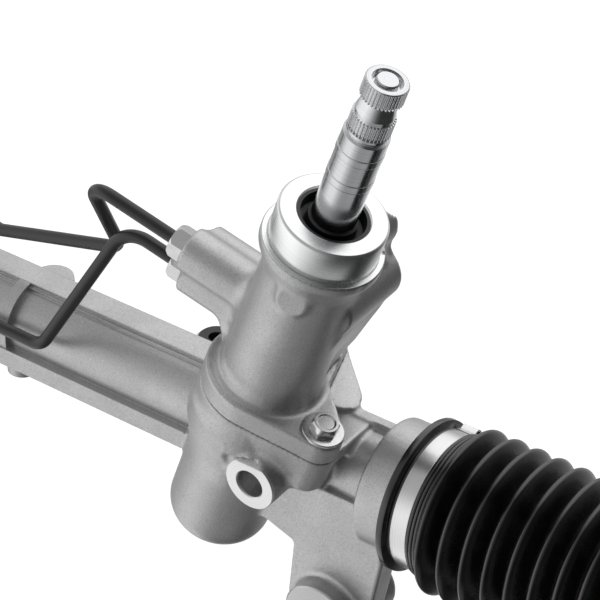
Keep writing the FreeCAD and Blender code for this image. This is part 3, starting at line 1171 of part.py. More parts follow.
# Left-hand bracket: rubber around the cylinder and a pressed strap with two tabs
rubber_outer = cylinder("rubber_outer", f"{CYLINDER_RADIUS}+rubber_thickness", "bracket_width-4",
                        ("bracket_x-bracket_width/2+2", "0", "0"), RIGHT)
rubber_inner = cylinder("rubber_inner", CYLINDER_RADIUS, "bracket_width", ("bracket_x-bracket_width/2", "0", "0"),
                        RIGHT)
rubber_flat = box("rubber_flat", "bracket_width+2", "20", "4*cylinder_bore",
                  ("bracket_x-bracket_width/2-1", "bracket_back", "-2*cylinder_bore"))
sub_part("bracket_rubber", cut("bracket_rubber", rubber_outer, [rubber_inner, rubber_flat]))
STRAP_IN = f"({CYLINDER_RADIUS}+rubber_thickness+fit_gap)"
strap_outer = fuse("strap_outer", [
    cylinder("strap_round", f"{STRAP_IN}+bracket_gauge", "bracket_width", ("bracket_x-bracket_width/2", "0", "0"),
             RIGHT),
    box("strap_legs", "bracket_width", "bracket_back", f"2*({STRAP_IN}+bracket_gauge)",
        ("bracket_x-bracket_width/2", "0", f"-{STRAP_IN}-bracket_gauge")),
    box("strap_tabs", "bracket_width", "bracket_gauge", "2*bracket_tab",
        ("bracket_x-bracket_width/2", "bracket_back-bracket_gauge", "-bracket_tab")),
])
strap_cuts = [
    cylinder("strap_hollow", STRAP_IN, "bracket_width+2", ("bracket_x-bracket_width/2-1", "0", "0"), RIGHT),
    box("strap_open", "bracket_width+2", "bracket_back+20", f"2*{STRAP_IN}",
        ("bracket_x-bracket_width/2-1", "0", f"-{STRAP_IN}")),
    box("strap_rear", "bracket_width+2", "20", "4*bracket_tab",
        ("bracket_x-bracket_width/2-1", "bracket_back", "-2*bracket_tab")),
]
for name, sign in (("high", ""), ("low", "-")):
    strap_cuts.append(cylinder(f"bracket_hole_{name}", "bracket_hole", "20",
                               ("bracket_x", "bracket_back-10", f"{sign}bracket_hole_z"), BACK))
sub_part("left_bracket", cut("left_bracket", strap_outer, strap_cuts))

# Line clip that carries the long line above the cylinder
clip_band = cut("clip_band", cylinder("clip_outer", f"{CYLINDER_RADIUS}+1.2", "12", ("-330", "0", "0"), RIGHT),
                [cylinder("clip_inner", CYLINDER_RADIUS, "14", ("-331", "0", "0"), RIGHT)])
clip_post = box("clip_post", "12", "3", f"long_line_z-{CYLINDER_RADIUS}+1", ("-330", "long_line_y-1.5", CYLINDER_RADIUS + "-2"))
clip_loop = cylinder("clip_loop", "line_radius+1.8", "12", ("-330", "long_line_y", "long_line_z"), RIGHT)
clip_hole = cylinder("clip_hole", "line_radius", "14", ("-331", "long_line_y", "long_line_z"), RIGHT)
clip_inside = cylinder("clip_inside", CYLINDER_RADIUS, "14", ("-331", "0", "0"), RIGHT)
sub_part("line_clip", cut("line_clip", fuse("clip_solid", [clip_band, clip_post, clip_loop]),
                          [clip_hole, clip_inside]))


# Ends: the same pieces at both ends of the bar, given by distances outboard of the housing's end face
def outboard(side, distance):
    """A point on the bar axis, outboard of the housing's end face."""
    if side == "right":
        return (f"right_end_x+({distance})", "0", "0")
    return (f"left_end_x-({distance})", "0", "0")


SOCKET_FACE = "rack_travel+stop_gap"
BALL = "rack_travel+stop_gap+lock_washer+ball_reach"


def boot_outline():
    """Half section of the boot: lip, cuff, a rib, thin pleats that get smaller and the tail on the tie rod."""
    start, lip = size("boot_start"), size("boot_lip_radius")
    cuff, collar = size("boot_cuff"), size("end_collar_radius")
    wall, end = size("boot_wall"), size("boot_end")
    rod = size("tie_rod_radius") + size("fit_gap")
    first, pitch = size("pleat_start"), size("pleat_pitch")
    full, depth = size("pleat_radius"), size("pleat_depth")
    tail = size("boot_tail_length")
    last = size("tie_rod_radius") + wall + size("pleat_last_gap")
    after_clamp = size("clamp_start") + size("clamp_width") + 0.5
    count, whole = int(size("pleat_count")), int(size("pleat_taper_from"))
    outer = [(collar, start), (lip, start), (lip, start + size("boot_lip_width")),
             (cuff, start + size("boot_lip_width") + 0.4), (cuff, after_clamp), (lip - 1, after_clamp + 0.6),
             (lip - 1, after_clamp + 1.8), (lip - 3, after_clamp + 2.4)]
    inner = [(collar, 0.5)]
    for k in range(count):
        shrink = max(0, k - whole + 1) / (count - whole)
        peak = full - (full - last) * shrink
        valley = peak - depth * (1 - 0.45 * shrink)
        outer += [(peak, first + k * pitch), (valley, first + (k + 0.5) * pitch)]
        inner += [(peak - wall, first + k * pitch), (valley - wall, first + (k + 0.5) * pitch)]
    outer += [(rod + wall, end - tail), (rod + wall, end)]
    inner += [(rod, end - tail), (rod, end)]
    return outer + inner[::-1]


def boot_solid():
    points = [Vector(radius, 0, along) for radius, along in boot_outline()]
    section = Part.Face(Part.makePolygon(points + points[:1]))
    return section.revolve(Vector(0, 0, 0), Vector(0, 0, 1), 360)


for side, turn, sign in (("right", RIGHT, ""), ("left", LEFT, "-")):
    washer = turned(f"lock_washer_{side}", [
        ("stud_radius+fit_gap", "0"), ("socket_radius-2", "0"), ("socket_radius-2", "lock_washer"),
        ("stud_radius+fit_gap", "lock_washer"),
    ], outboard(side, SOCKET_FACE), turn)
    sub_part(f"lock_washer_{side}", washer)

    socket_blank = turned(f"socket_blank_{side}", [
        ("0", "0"), ("stud_radius-fit_gap", "0"), ("stud_radius-fit_gap", "stud_length+lock_washer"),
        ("socket_radius-1", "stud_length+lock_washer"), ("socket_radius", "stud_length+lock_washer+1"),
        ("socket_radius", "stud_length+lock_washer+socket_length-6"),
        ("socket_radius-4", "stud_length+lock_washer+socket_length"),
        ("0", "stud_length+lock_washer+socket_length"),
    ], outboard(side, f"{SOCKET_FACE}-stud_length"), turn)
    socket_cuts = [
        ball(f"socket_room_{side}", "ball_radius+seat_thickness", outboard(side, BALL)),
        cylinder(f"socket_back_{side}", "ball_radius-4", "ball_radius", outboard(side, f"{BALL}-ball_radius-2.5"), turn),
        cone(f"socket_mouth_{side}", "tie_rod_neck/cos(swing_angle)+8*tan(swing_angle)+0.6",
             "tie_rod_neck/cos(swing_angle)+(socket_length-ball_reach+1)*tan(swing_angle)+0.9",
             "socket_length-ball_reach-7", outboard(side, f"{BALL}+8"), turn),
    ]
    sub_part(f"tie_rod_socket_{side}", cut(f"tie_rod_socket_{side}", socket_blank, socket_cuts))

    seat_shell = cut(f"seat_shell_{side}", ball(f"seat_outer_{side}", "ball_radius+seat_thickness", outboard(side, BALL)),
                     [ball(f"seat_inner_{side}", "ball_radius+fit_gap", outboard(side, BALL))])
    seat_band = cylinder(f"seat_band_{side}", "ball_radius+4", "14", outboard(side, f"{BALL}-7"), turn)
    sub_part(f"ball_seat_{side}", common(f"ball_seat_{side}", seat_shell, seat_band))

    rod_pieces = [
        ball(f"rod_ball_{side}", "ball_radius", outboard(side, BALL)),
        cylinder(f"rod_neck_{side}", "tie_rod_neck", "socket_length+10", outboard(side, BALL), turn),
        cylinder(f"rod_shank_{side}", "tie_rod_radius", "tie_rod_length-socket_length-thread_length-6",
                 outboard(side, f"{BALL}+socket_length+6"), turn),
        cylinder(f"rod_thread_{side}", "thread_radius", "thread_length-1",
                 outboard(side, f"{BALL}+tie_rod_length-thread_length"), turn),
        cone(f"rod_tip_{side}", "thread_radius", "thread_radius-1", "1", outboard(side, f"{BALL}+tie_rod_length-1"),
             turn),
    ]
    sub_part(f"tie_rod_{side}", fuse(f"tie_rod_{side}", rod_pieces))

    nut_blank = hexagon(f"jam_nut_blank_{side}", "jam_nut_flats", "jam_nut_width",
                        outboard(side, f"{BALL}+tie_rod_length-thread_length*0.8"), turn)
    nut_hole = cylinder(f"jam_nut_hole_{side}", "thread_radius", "jam_nut_width+2",
                        outboard(side, f"{BALL}+tie_rod_length-thread_length*0.8-1"), turn)
    sub_part(f"jam_nut_{side}", cut(f"jam_nut_{side}", nut_blank, [nut_hole]))

    sub_part(f"boot_{side}", shaped(f"boot_{side}", boot_solid(), outboard(side, "0"), turn))

    band = cut(f"clamp_band_{side}",
               cylinder(f"clamp_outer_{side}", "boot_cuff+clamp_gauge", "clamp_width", outboard(side, "clamp_start"),
                        turn),
               [cylinder(f"clamp_inner_{side}", "boot_cuff", "clamp_width+2", outboard(side, "clamp_start-1"), turn)])
    ear_x = "right_end_x+clamp_start+1" if side == "right" else "left_end_x-clamp_start-clamp_width+1"
    ear = box(f"clamp_ear_{side}", "clamp_width-2", "7", "2.4", (ear_x, "2", "boot_cuff+0.1"))
    sub_part(f"boot_clamp_{side}", fuse(f"boot_clamp_{side}", [band, ear]))

    clip = turned(f"boot_clip_{side}", [
        ("tie_rod_radius+boot_wall+fit_gap", "0"), ("tie_rod_radius+boot_wall+1.4", "0"),
        ("tie_rod_radius+boot_wall+1.4", "clip_width"), ("tie_rod_radius+boot_wall+fit_gap", "clip_width"),
    ], outboard(side, "boot_end-boot_tail_length/2-clip_width/2"), turn)
    sub_part(f"boot_clip_{side}", clip)

doc.recompute()

failed = [f"{thing.Name}: {thing.State}" for thing in doc.Objects
          if "Invalid" in thing.State or "Error" in thing.State]
for piece in PARTS:
    if piece.Shape.isNull() or not piece.Shape.isValid() or not piece.Shape.Solids:
        failed.append(f"{piece.Label}: bad shape")
if failed:
    raise RuntimeError("failed objects: " + "; ".join(failed))

os.makedirs("parts", exist_ok=True)
for piece in PARTS:
    piece.Shape.exportStep(f"parts/{piece.Label}.step")
    limits = piece.Shape.BoundBox
    print(f"{piece.Label:24s} {len(piece.Shape.Solids)} solids {piece.Shape.Volume:10.0f} mm3  "
          f"x {limits.XMin:.1f}..{limits.XMax:.1f}")
print(f"{len(PARTS)} sub-parts written")
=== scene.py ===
# %% [markdown]
# # A steering rack, dressed for its photograph
# A steering rack turns the wheel's rotation into a sideways push. Its pinion end shows two blasted aluminium
# castings, a ground steel shaft, black steel pipes and a rubber bellows.
# All of it could be modelled in Blender, but nothing would then guarantee its sizes. Here the solids come from
# CAD as a fixed frame, and the lesson only adds what the eye expects of the real thing: soft fillets, fine
# pleats, and surfaces that tell how each piece was made.

import json
import math

import bmesh
import bpy
import numpy as np
import openvdb
from mathutils import Matrix, Vector


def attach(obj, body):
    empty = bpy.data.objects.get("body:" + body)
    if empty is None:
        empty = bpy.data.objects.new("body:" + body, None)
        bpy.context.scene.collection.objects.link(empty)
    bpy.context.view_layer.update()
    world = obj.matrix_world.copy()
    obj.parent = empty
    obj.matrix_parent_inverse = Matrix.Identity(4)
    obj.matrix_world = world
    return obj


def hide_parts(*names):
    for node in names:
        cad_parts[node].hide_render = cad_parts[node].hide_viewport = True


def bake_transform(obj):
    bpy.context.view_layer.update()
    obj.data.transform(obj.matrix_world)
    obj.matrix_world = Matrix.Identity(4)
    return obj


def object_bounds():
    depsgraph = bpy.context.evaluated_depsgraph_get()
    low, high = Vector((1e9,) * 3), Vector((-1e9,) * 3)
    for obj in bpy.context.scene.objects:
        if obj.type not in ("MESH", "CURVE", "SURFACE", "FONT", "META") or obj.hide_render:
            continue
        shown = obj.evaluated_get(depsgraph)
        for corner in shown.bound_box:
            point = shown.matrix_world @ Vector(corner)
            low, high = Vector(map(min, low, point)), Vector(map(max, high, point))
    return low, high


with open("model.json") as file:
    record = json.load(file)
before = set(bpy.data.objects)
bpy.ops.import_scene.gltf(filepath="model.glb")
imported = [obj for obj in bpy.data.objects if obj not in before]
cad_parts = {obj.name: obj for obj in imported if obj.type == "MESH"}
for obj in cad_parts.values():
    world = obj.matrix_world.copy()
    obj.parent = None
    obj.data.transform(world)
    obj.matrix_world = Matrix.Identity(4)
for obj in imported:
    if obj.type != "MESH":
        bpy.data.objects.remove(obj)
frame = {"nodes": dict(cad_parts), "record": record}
cad_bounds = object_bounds()
nodes = frame["nodes"]
MM = 0.001
print("CAD nodes:", len(nodes))

# %% [markdown]
# ## Camera
# The photograph looks down on the pinion end from the front right, from about a metre away.
# A camera could be moved by hand until the picture looks alike. This one was worked out from the round faces of
# the collar, the shaft and the boot, because a circle seen at a slant tells how far it is turned. So the
# numbers are measured ones, and the perspective fits all over the picture.

# %% camera
AZIMUTH, ELEVATION, ROLL = (math.radians(angle) for angle in (36.236, 35.599, -0.394))
DISTANCE = 1.0
FOCAL_PIXELS, IMAGE_PIXELS = 2338.885, 600
SENSOR = 36.0
VIEW_RIGHT, VIEW_UP = -14.776 * MM, -52.477 * MM
FARTHEST_SEEN = 20

back = Vector((math.sin(AZIMUTH) * math.cos(ELEVATION), -math.cos(AZIMUTH) * math.cos(ELEVATION),
               math.sin(ELEVATION)))
level = Vector((math.cos(AZIMUTH), math.sin(AZIMUTH), 0))
upright = back.cross(level)
right = level * math.cos(ROLL) + upright * math.sin(ROLL)
up = upright * math.cos(ROLL) - level * math.sin(ROLL)
camera = bpy.data.objects.new("camera", bpy.data.cameras.new("camera"))
bpy.context.scene.collection.objects.link(camera)
bpy.context.scene.camera = camera
camera.data.sensor_width = SENSOR
camera.data.lens = SENSOR * FOCAL_PIXELS / IMAGE_PIXELS
camera.data.clip_end = FARTHEST_SEEN
spot = back * DISTANCE - right * VIEW_RIGHT - up * VIEW_UP
turn = Matrix((right, up, back)).transposed()
camera.matrix_world = Matrix.Translation(spot) @ turn.to_4x4()
print("camera at", [round(v, 3) for v in spot], "lens", round(camera.data.lens, 1))

# %% [markdown]
# ## Where things stand
# The bar lies along X. The pinion crosses it at a slant, and the tower, the collar and the shaft stand on the
# pinion's axis. Each turned piece could be modelled upright and rotated afterwards. A matrix for its axis is
# clearer: its Z runs along the axis, so a height on it reads like a height on the drawing, in millimetres.

# %% axes
TILT = math.radians(19.3)
ALONG_PINION = Vector((math.sin(TILT), 0, math.cos(TILT)))
ACROSS_PINION = Vector((math.cos(TILT), 0, -math.sin(TILT)))
PINION_FOOT = Vector((0, -15.5, 0))
ALONG_BAR, FORWARD, UPWARD = (1, 0, 0), (0, -1, 0), (0, 0, 1)


def axes(origin, along, across=None):
    """A matrix whose Z is the given direction, from a point in millimetres."""
    z = Vector(along).normalized()
    x = Vector(across) if across else z.orthogonal()
    x = (x - z * x.dot(z)).normalized()
    turn = Matrix((x, z.cross(x), z)).transposed().to_4x4()
    return Matrix.Translation(Vector(origin)) @ turn


PINION = axes(PINION_FOOT, ALONG_PINION, ACROSS_PINION)
print("pinion axis", [round(v, 3) for v in ALONG_PINION])

# %% [markdown]
# ## Making pieces
# Most of what is added here is turned on a lathe or moulded round: rings, washers, bellows. They could be made
# with the Screw or Spin tools. A half section written as points, (radius, height), and swept by a few lines of
# code shows every size, and gives the same mesh on each run.

# %% tools for pieces
def piece(name, points, faces, look, body, slot, replaced=(), sharp=35):
    """A mesh object from points in millimetres, which rides on a body and stands for the named CAD nodes."""
    data = bpy.data.meshes.new(name)
    data.from_pydata([tuple(point) for point in np.asarray(points) * MM], [], faces)
    data.validate()
    data.materials.append(look)
    data.shade_smooth()
    data.set_sharp_from_angle(angle=math.radians(sharp))
    thing = bpy.data.objects.new(name, data)
    bpy.context.scene.collection.objects.link(thing)
    if body:
        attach(thing, body)
    if replaced:
        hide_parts(*replaced)
    print(name, "faces:", len(faces))
    return thing


def sweep(profile, place, steps=144, closed=False):
    """Points and faces of a half section (radius, height) turned about the Z of a matrix."""
    points, faces = [], []
    for k in range(steps):
        angle = 2 * math.pi * k / steps
        for radius, height in profile:
            points.append(place @ Vector((radius * math.cos(angle), radius * math.sin(angle), height)))
    count = len(profile)
    for k in range(steps):
        here, there = k * count, (k + 1) % steps * count
        for j in range(count if closed else count - 1):
            after = (j + 1) % count
            faces.append((here + j, there + j, there + after, here + after))
    return points, faces


def joined(*parts):
    """One list of points and faces from several."""
    points, faces = [], []
    for some_points, some_faces in parts:
        start = len(points)
        points += list(some_points)
        faces += [tuple(start + k for k in face) for face in some_faces]
    return points, faces


print("a short tube of 8 steps has", len(sweep([(1, 0), (1, 1)], PINION, 8)[1]), "faces")

# %% [markdown]
# ## Materials
# A picture of metal is a picture of what the metal reflects, so the finish matters more than the colour.
# Photographs could be wrapped on as textures, but they bring their own light with them. Here each finish is
# drawn by nodes, from what was done to the real piece: blasted, turned, plated, moulded or painted.
# One pixel of the picture covers about 0.4 mm, so marks finer than that are drawn coarser than they are.

# %% tools for materials
BEVEL_RAYS = 6


def tone(code):
    """sRGB hex colour as linear RGBA."""
    channels = [int(code[k:k + 2], 16) / 255 for k in (1, 3, 5)]
    return (*(c / 12.92 if c <= 0.04045 else ((c + 0.055) / 1.055) ** 2.4 for c in channels), 1.0)


def node(tree, kind, inputs=None, **settings):
    """Add a shader node, set its properties and set or link its inputs."""
    made = tree.nodes.new("ShaderNode" + kind)
    for name, value in settings.items():
        setattr(made, name, value)
    for name, value in (inputs or {}).items():
        if isinstance(value, bpy.types.NodeSocket):
            tree.links.new(value, made.inputs[name])
        else:
            made.inputs[name].default_value = value
    return made


def noise(tree, where, grain, detail=2.0):
    """Noise whose lumps are about this many millimetres across."""
    return node(tree, "TexNoise", {"Vector": where, "Scale": 1 / (grain * MM), "Detail": detail}).outputs[0]


def remap(tree, value, low, high, to_low=0.0, to_high=1.0):
    """A value between two limits, stretched to two others and clamped there."""
    return node(tree, "MapRange", {0: value, 1: low, 2: high, 3: to_low, 4: to_high}).outputs[0]


def blend_tones(tree, factor, first, second):
    """The first colour where the factor is 0, and the second where it is 1."""
    return node(tree, "Mix", {0: factor, 6: first, 7: second}, data_type="RGBA").outputs[2]


def bump(tree, height, depth, normal):
    """Relief of this depth in millimetres."""
    return node(tree, "Bump", {"Height": height, "Distance": depth * MM, "Normal": normal}).outputs[0]


def begin(name, edge=0.0):
    """A new material, its tree, its shader, object coordinates and the normal to build relief on.

    The edge is the radius in millimetres of a bevel that only the light sees.
    """
    made = bpy.data.materials.new(name)
    made.use_nodes = True
    tree = made.node_tree
    where = node(tree, "TexCoord").outputs["Object"]
    if edge:
        normal = node(tree, "Bevel", {"Radius": edge * MM}, samples=BEVEL_RAYS).outputs[0]
    else:
        normal = node(tree, "NewGeometry").outputs["Normal"]
    return made, tree, tree.nodes["Principled BSDF"], where, normal


def end(tree, shader, **inputs):
    """Set or link the shader's own sockets."""
    for name, value in inputs.items():
        name = name.replace("_", " ")
        if isinstance(value, bpy.types.NodeSocket):
            tree.links.new(value, shader.inputs[name])
        else:
            shader.inputs[name].default_value = value


print("one pixel covers", round(DISTANCE / FOCAL_PIXELS / MM, 2), "mm")

# %% [markdown]
# ### Blasted casting
# The castings leave the mould with a skin like fine sandpaper, and are then blasted with grit, which makes them
# evenly dull. A single roughness value would look like plastic. So the relief comes in three sizes, and the
# colour follows it: darker in the pits, and with a few painted glints, single facets drawn brighter as if
# they caught the light.

# %% blasted casting
def blasted_casting(name, color, relief=1.0, edge=0.0):
    """Cast aluminium blasted with fine grit: a dull metal with a grain."""
    made, tree, shader, where, normal = begin(name, edge)
    cloud = noise(tree, where, 14, 3)  # where the blasting went on a little longer
    lumps = noise(tree, where, 3, 2)  # the roughness of the mould
    grain = noise(tree, where, 0.55, 3)  # grit marks, drawn coarser than the real 0.2 mm
    painted_glints = noise(tree, where, 1.3, 1)  # painted glints: single facets drawn brighter, as if they flash
    base = blend_tones(tree, remap(tree, cloud, 0.35, 0.65, 0, 0.12), tone(color), tone("#989898"))
    base = blend_tones(tree, remap(tree, grain, 0.47, 0.66, 0, 0.35), base, tone("#7c7c7c"))
    # painted glints: a few spots of the base colour made brighter, where facets would catch the light
    base = blend_tones(tree, remap(tree, painted_glints, 0.7, 0.78, 0, 0.5), base, tone("#dedede"))
    normal = bump(tree, lumps, 0.05 * relief, normal)
    normal = bump(tree, grain, 0.085 * relief, normal)
    end(tree, shader, Base_Color=base, Metallic=0.9, Roughness=remap(tree, cloud, 0.3, 0.7, 0.4, 0.47),
        Normal=normal)
    return made


# Blasted after casting: pale, dull and grainy, and it never shows a sharp reflection.
CAST = blasted_casting("sand_cast_aluminium_blasted", "#c2c2c2")
LOOKS = {
    # Cast and left plain: the same grey with less grain, and with edges broken by tumbling.
    "cast_aluminium": blasted_casting("die_cast_aluminium_plain", "#bebebe", 0.8, 0.6),
}
print("made", CAST.name, "with", len(CAST.node_tree.nodes), "nodes")

# %% [markdown]
# ### Turned and ground metal
# A lathe leaves fine rings round the axis, too fine to count, but they stretch each highlight into a streak
# across them. The Anisotropic value alone gives the streak and no rings. So a noise with one dimension is drawn
# along the axis and outward from it, as rings, and the Tangent input is given the direction round the axis.

# %% turned and ground metal
def turned_metal(name, color, roughness, pitch, depth, centre, along, brushed=0.0, edge=0.3):
    """Metal from the lathe, with rings of this pitch and depth in millimetres round an axis."""
    made, tree, shader, where, normal = begin(name, edge)
    offset = node(tree, "VectorMath", {0: where, 1: tuple(Vector(centre) * MM)},
                  operation="SUBTRACT").outputs[0]
    level = node(tree, "VectorMath", {0: offset, 1: tuple(along)}, operation="DOT_PRODUCT").outputs["Value"]
    round_it = node(tree, "VectorMath", {0: offset, 1: tuple(along)}, operation="CROSS_PRODUCT").outputs[0]
    reach = node(tree, "VectorMath", {0: round_it}, operation="LENGTH").outputs["Value"]
    travel = node(tree, "Math", {0: level, 1: reach}, operation="ADD").outputs[0]
    rings = node(tree, "TexNoise", {"W": travel, "Scale": 1 / (pitch * MM), "Detail": 3.0},
                 noise_dimensions="1D").outputs[0]
    smudge = noise(tree, where, 9, 3)  # the width of a fingertip
    base = blend_tones(tree, remap(tree, rings, 0.45, 0.8, 0, 0.3), tone(color), tone("#8d8e90"))
    end(tree, shader, Base_Color=base, Metallic=1.0, Anisotropic=brushed,
        Roughness=remap(tree, smudge, 0.3, 0.7, roughness * 0.9, roughness * 1.1),
        Normal=bump(tree, rings, depth, normal))
    if brushed:
        tangent = node(tree, "VectorMath", {0: round_it}, operation="NORMALIZE").outputs[0]
        end(tree, shader, Tangent=tangent)
    return made


PAD_AT, EYE_AT = (23.2, -42.2, 5.8), (49.5, -31.1, -63.8)
# Ground between centres: a bright streak along the rod, with faint rings round it.
LOOKS["machined_steel"] = turned_metal("ground_steel", "#c9cacc", 0.16, 0.35, 0.004, (0, 0, 0), ALONG_BAR)
# Ground to size: nearly a mirror, with one bright and one dark band along its length.
SHAFT = turned_metal("ground_shaft_steel", "#d4d5d7", 0.17, 0.5, 0.002, PINION_FOOT, ALONG_PINION)
# Turned in one pass: almost white, with highlights drawn out across the rings.
COLLAR = turned_metal("turned_aluminium_collar", "#ebecec", 0.27, 0.3, 0.004, PINION_FOOT, ALONG_PINION,
                      0.6)
# Faced by a mill: flat and pale, and it lights up as a whole.
PAD = turned_metal("faced_aluminium_pad", "#e4e4e4", 0.36, 0.25, 0.006, PAD_AT, (0, 1, 0), 0.3)
# Faced with a coarse feed: visible rings, and a bow-tie of light across them.
EYE = turned_metal("faced_aluminium_eye", "#bdbdbd", 0.3, 0.5, 0.02, EYE_AT, (0, 1, 0), 0.75)
# Rolled strip: smooth and bright, with its marks along the band.
BAND = turned_metal("stainless_clamp_band", "#d6d6d6", 0.24, 0.4, 0.002, (0, 0, 0), ALONG_BAR, 0.4)
print("made", ", ".join(look.name for look in (SHAFT, COLLAR, PAD, EYE, BAND)))

# %% [markdown]
# ### Plated and drawn metal
# The bolts and the pipes' nuts are plated with zinc, which copies the steel under it and adds a faint haze. The
# Metallic value alone gives a perfect mirror of one tone. So a fine relief bends the reflection here and there,
# and wide stains darken it a little.

# %% plated and drawn metal
def bright_metal(name, color, roughness, grain, depth, edge=0.25, stained=0.12):
    """Plated or drawn metal: a slightly uneven mirror."""
    made, tree, shader, where, normal = begin(name, edge)
    stain = noise(tree, where, grain * 6, 4)
    fine = noise(tree, where, grain, 3)
    base = blend_tones(tree, remap(tree, stain, 0.4, 0.7, 0, stained), tone(color), tone("#777777"))
    end(tree, shader, Base_Color=base, Metallic=1.0,
        Roughness=remap(tree, stain, 0.3, 0.7, roughness * 0.9, roughness * 1.15),
        Normal=bump(tree, fine, depth, normal))
    return made


# Hardened and lapped: the sharpest mirror in the assembly.
LOOKS["bearing_steel"] = bright_metal("hardened_bearing_steel", "#cfd0d2", 0.12, 0.4, 0.003)
# Thin plating on a forged head: bright facets with a hazy edge to each reflection.
LOOKS["zinc_plated_steel"] = bright_metal("zinc_plated_steel", "#d0d0d0", 0.26, 0.6, 0.006)
# Drawn wire in oil: dark metal with long soft highlights.
LOOKS["spring_steel"] = bright_metal("oiled_spring_steel", "#55565a", 0.35, 0.3, 0.006)
print("made", ", ".join(LOOKS[slot].name for slot in ("bearing_steel", "zinc_plated_steel", "spring_steel")))

# %% [markdown]
# ### Rubber, plastic and paint
# These are no metals: they keep their own dark colour, and only their highlight is white. They could be flat
# values, but an even patch gives a render away. So slow clouds change the sheen a little, as dust and handling
# do, and a fine grain stands for the wall of the mould. The real grain is near 0.1 mm, and it is drawn at
# 0.3 mm or more, to show at all.

# %% rubber, plastic and paint
def soft_black(name, color, roughness, grain, depth, edge=0.0, sheen="#2c2c2c", ior=1.5):
    """Rubber, plastic or paint, with clouds in its sheen and a fine moulded grain."""
    made, tree, shader, where, normal = begin(name, edge)
    cloud = noise(tree, where, grain * 25, 3)
    fine = noise(tree, where, grain, 3)
    base = blend_tones(tree, remap(tree, cloud, 0.4, 0.75, 0, 0.35), tone(color), tone(sheen))
    end(tree, shader, Base_Color=base, IOR=ior,
        Roughness=remap(tree, cloud, 0.3, 0.7, roughness * 0.8, roughness * 1.2),
        Normal=bump(tree, fine, depth, normal))
    return made


# Baked powder paint: black with one soft broad highlight along each pipe.
LOOKS["painted_steel"] = soft_black("black_powder_coated_steel", "#202022", 0.34, 0.35, 0.012, 0.3,
                                    "#37383a")
# Moulded rubber: nearly black, with a clear line of light on each fold.
LOOKS["boot_rubber"] = soft_black("moulded_boot_rubber", "#0a0a0a", 0.25, 0.4, 0.01, ior=1.7)
# Oil-proof rubber: duller than the boots.
LOOKS["seal_rubber"] = soft_black("nitrile_seal_rubber", "#0e0e10", 0.42, 0.3, 0.01)
# Plastic filled with carbon: dark grey with a satin sheen.
LOOKS["sealing_plastic"] = soft_black("filled_sealing_plastic", "#1d1d1f", 0.4, 0.3, 0.006)
# Unfilled plastic from a mould: ivory, with a satin sheen.
LOOKS["bearing_plastic"] = soft_black("moulded_bearing_plastic", "#b9b7ae", 0.4, 0.3, 0.006, 0.2,
                                      "#c6c4bb")
print("finishes that a slot can name:", len(LOOKS))

# %% [markdown]
# ### Onto the solids
# Every CAD node names the material of its real piece, so most finishes are handed out by that name. Clicking
# through fifty objects would do the same, and would be lost with the next change of the solids. The edges of
# machined steel stay sharp, and round faces are shaded smooth.

# %% finishes onto the solids
SOLID_SHARP = math.radians(28)
OWN = {"input_shaft": SHAFT, "torsion_bar": SHAFT, "boot_clamp_right": BAND, "boot_clamp_left": BAND}
slot_of = {part["node"]: part["material_slot"] for part in frame["record"]["subparts"]}
for name, thing in nodes.items():
    thing.data.materials.clear()
    thing.data.materials.append(OWN.get(name) or LOOKS[slot_of[name]])
    thing.data.shade_smooth()
    thing.data.set_sharp_from_angle(angle=SOLID_SHARP)
print("solids with a finish:", len(nodes))

# %% [markdown]
# ## A grid of distances
# The CAD solids of the two castings meet at sharp inner corners, where the foundry's pattern has generous
# fillets. Bevel modifiers fail on such corners, because many small faces meet there. So the form is turned into
# a grid that holds, at each point, the distance to its surface. Growing the form by the fillet's radius and
# shrinking it again fills the corners. Shrinking a little and growing again rounds the outer edges.

# %% distance grids
EDGE = 0.5
VOXEL = 0.6
LOW, HIGH = np.array((-72, -52, -92)), np.array((106, 46, 146))
GRID_START = np.floor(LOW / VOXEL).astype(int)
GRID_SIZE = np.ceil((HIGH - LOW) / VOXEL).astype(int)
GRID = openvdb.createLinearTransform(voxelSize=VOXEL)
SPARE_VOXELS = 2
END_BLOCK = (4, 84, 84)


def form_of(names, cut=None):
    """Points and triangles of CAD nodes in millimetres, closed by a block where the tube is cut off."""
    form = bmesh.new()
    for name in names:
        form.from_mesh(nodes[name].data)
    if cut is not None:
        bmesh.ops.bisect_plane(form, geom=form.verts[:] + form.edges[:] + form.faces[:],
                               plane_co=(cut * MM, 0, 0), plane_no=ALONG_BAR, clear_inner=True)
        size = Matrix.Diagonal((*(length * MM for length in END_BLOCK), 1))
        bmesh.ops.create_cube(form, size=1, matrix=Matrix.Translation((cut * MM, 0, 0)) @ size)
    bmesh.ops.triangulate(form, faces=form.faces[:])
    points = np.array([vertex.co for vertex in form.verts]) / MM
    triangles = np.array([[vertex.index for vertex in face.verts] for face in form.faces])
    form.free()
    return points, triangles


def distances(points, triangles, quads, reach):
    """A grid of distances to a surface, exact up to this reach in millimetres."""
    return openvdb.FloatGrid.createLevelSetFromPolygons(
        points.astype(np.float32), triangles=None if triangles is None else triangles.astype(np.uint32),
        quads=quads, transform=GRID, halfWidth=reach / VOXEL + SPARE_VOXELS)


def values(grid):
    """The distances as an array of voxels."""
    made = np.empty(GRID_SIZE, np.float32)
    grid.copyToArray(made, ijk=tuple(int(k) for k in GRID_START))
    return made


def rounded(points, triangles, fillet):
    """Distances to a form whose inner corners have this fillet and whose edges are rounded."""
    grid = distances(points, triangles, None, fillet + EDGE)
    for offset in (fillet, -fillet - EDGE):
        points, triangles, quads = grid.convertToPolygons(isovalue=offset, adaptivity=0.0)
        grid = distances(points, triangles, quads, fillet + EDGE)
    return values(grid) - EDGE


def along(axis):
    """The voxels' places on one axis, in millimetres, shaped to spread over the whole grid."""
    shape = [1, 1, 1]
    shape[axis] = -1
    return ((GRID_START[axis] + np.arange(GRID_SIZE[axis])) * VOXEL).astype(np.float32).reshape(shape)


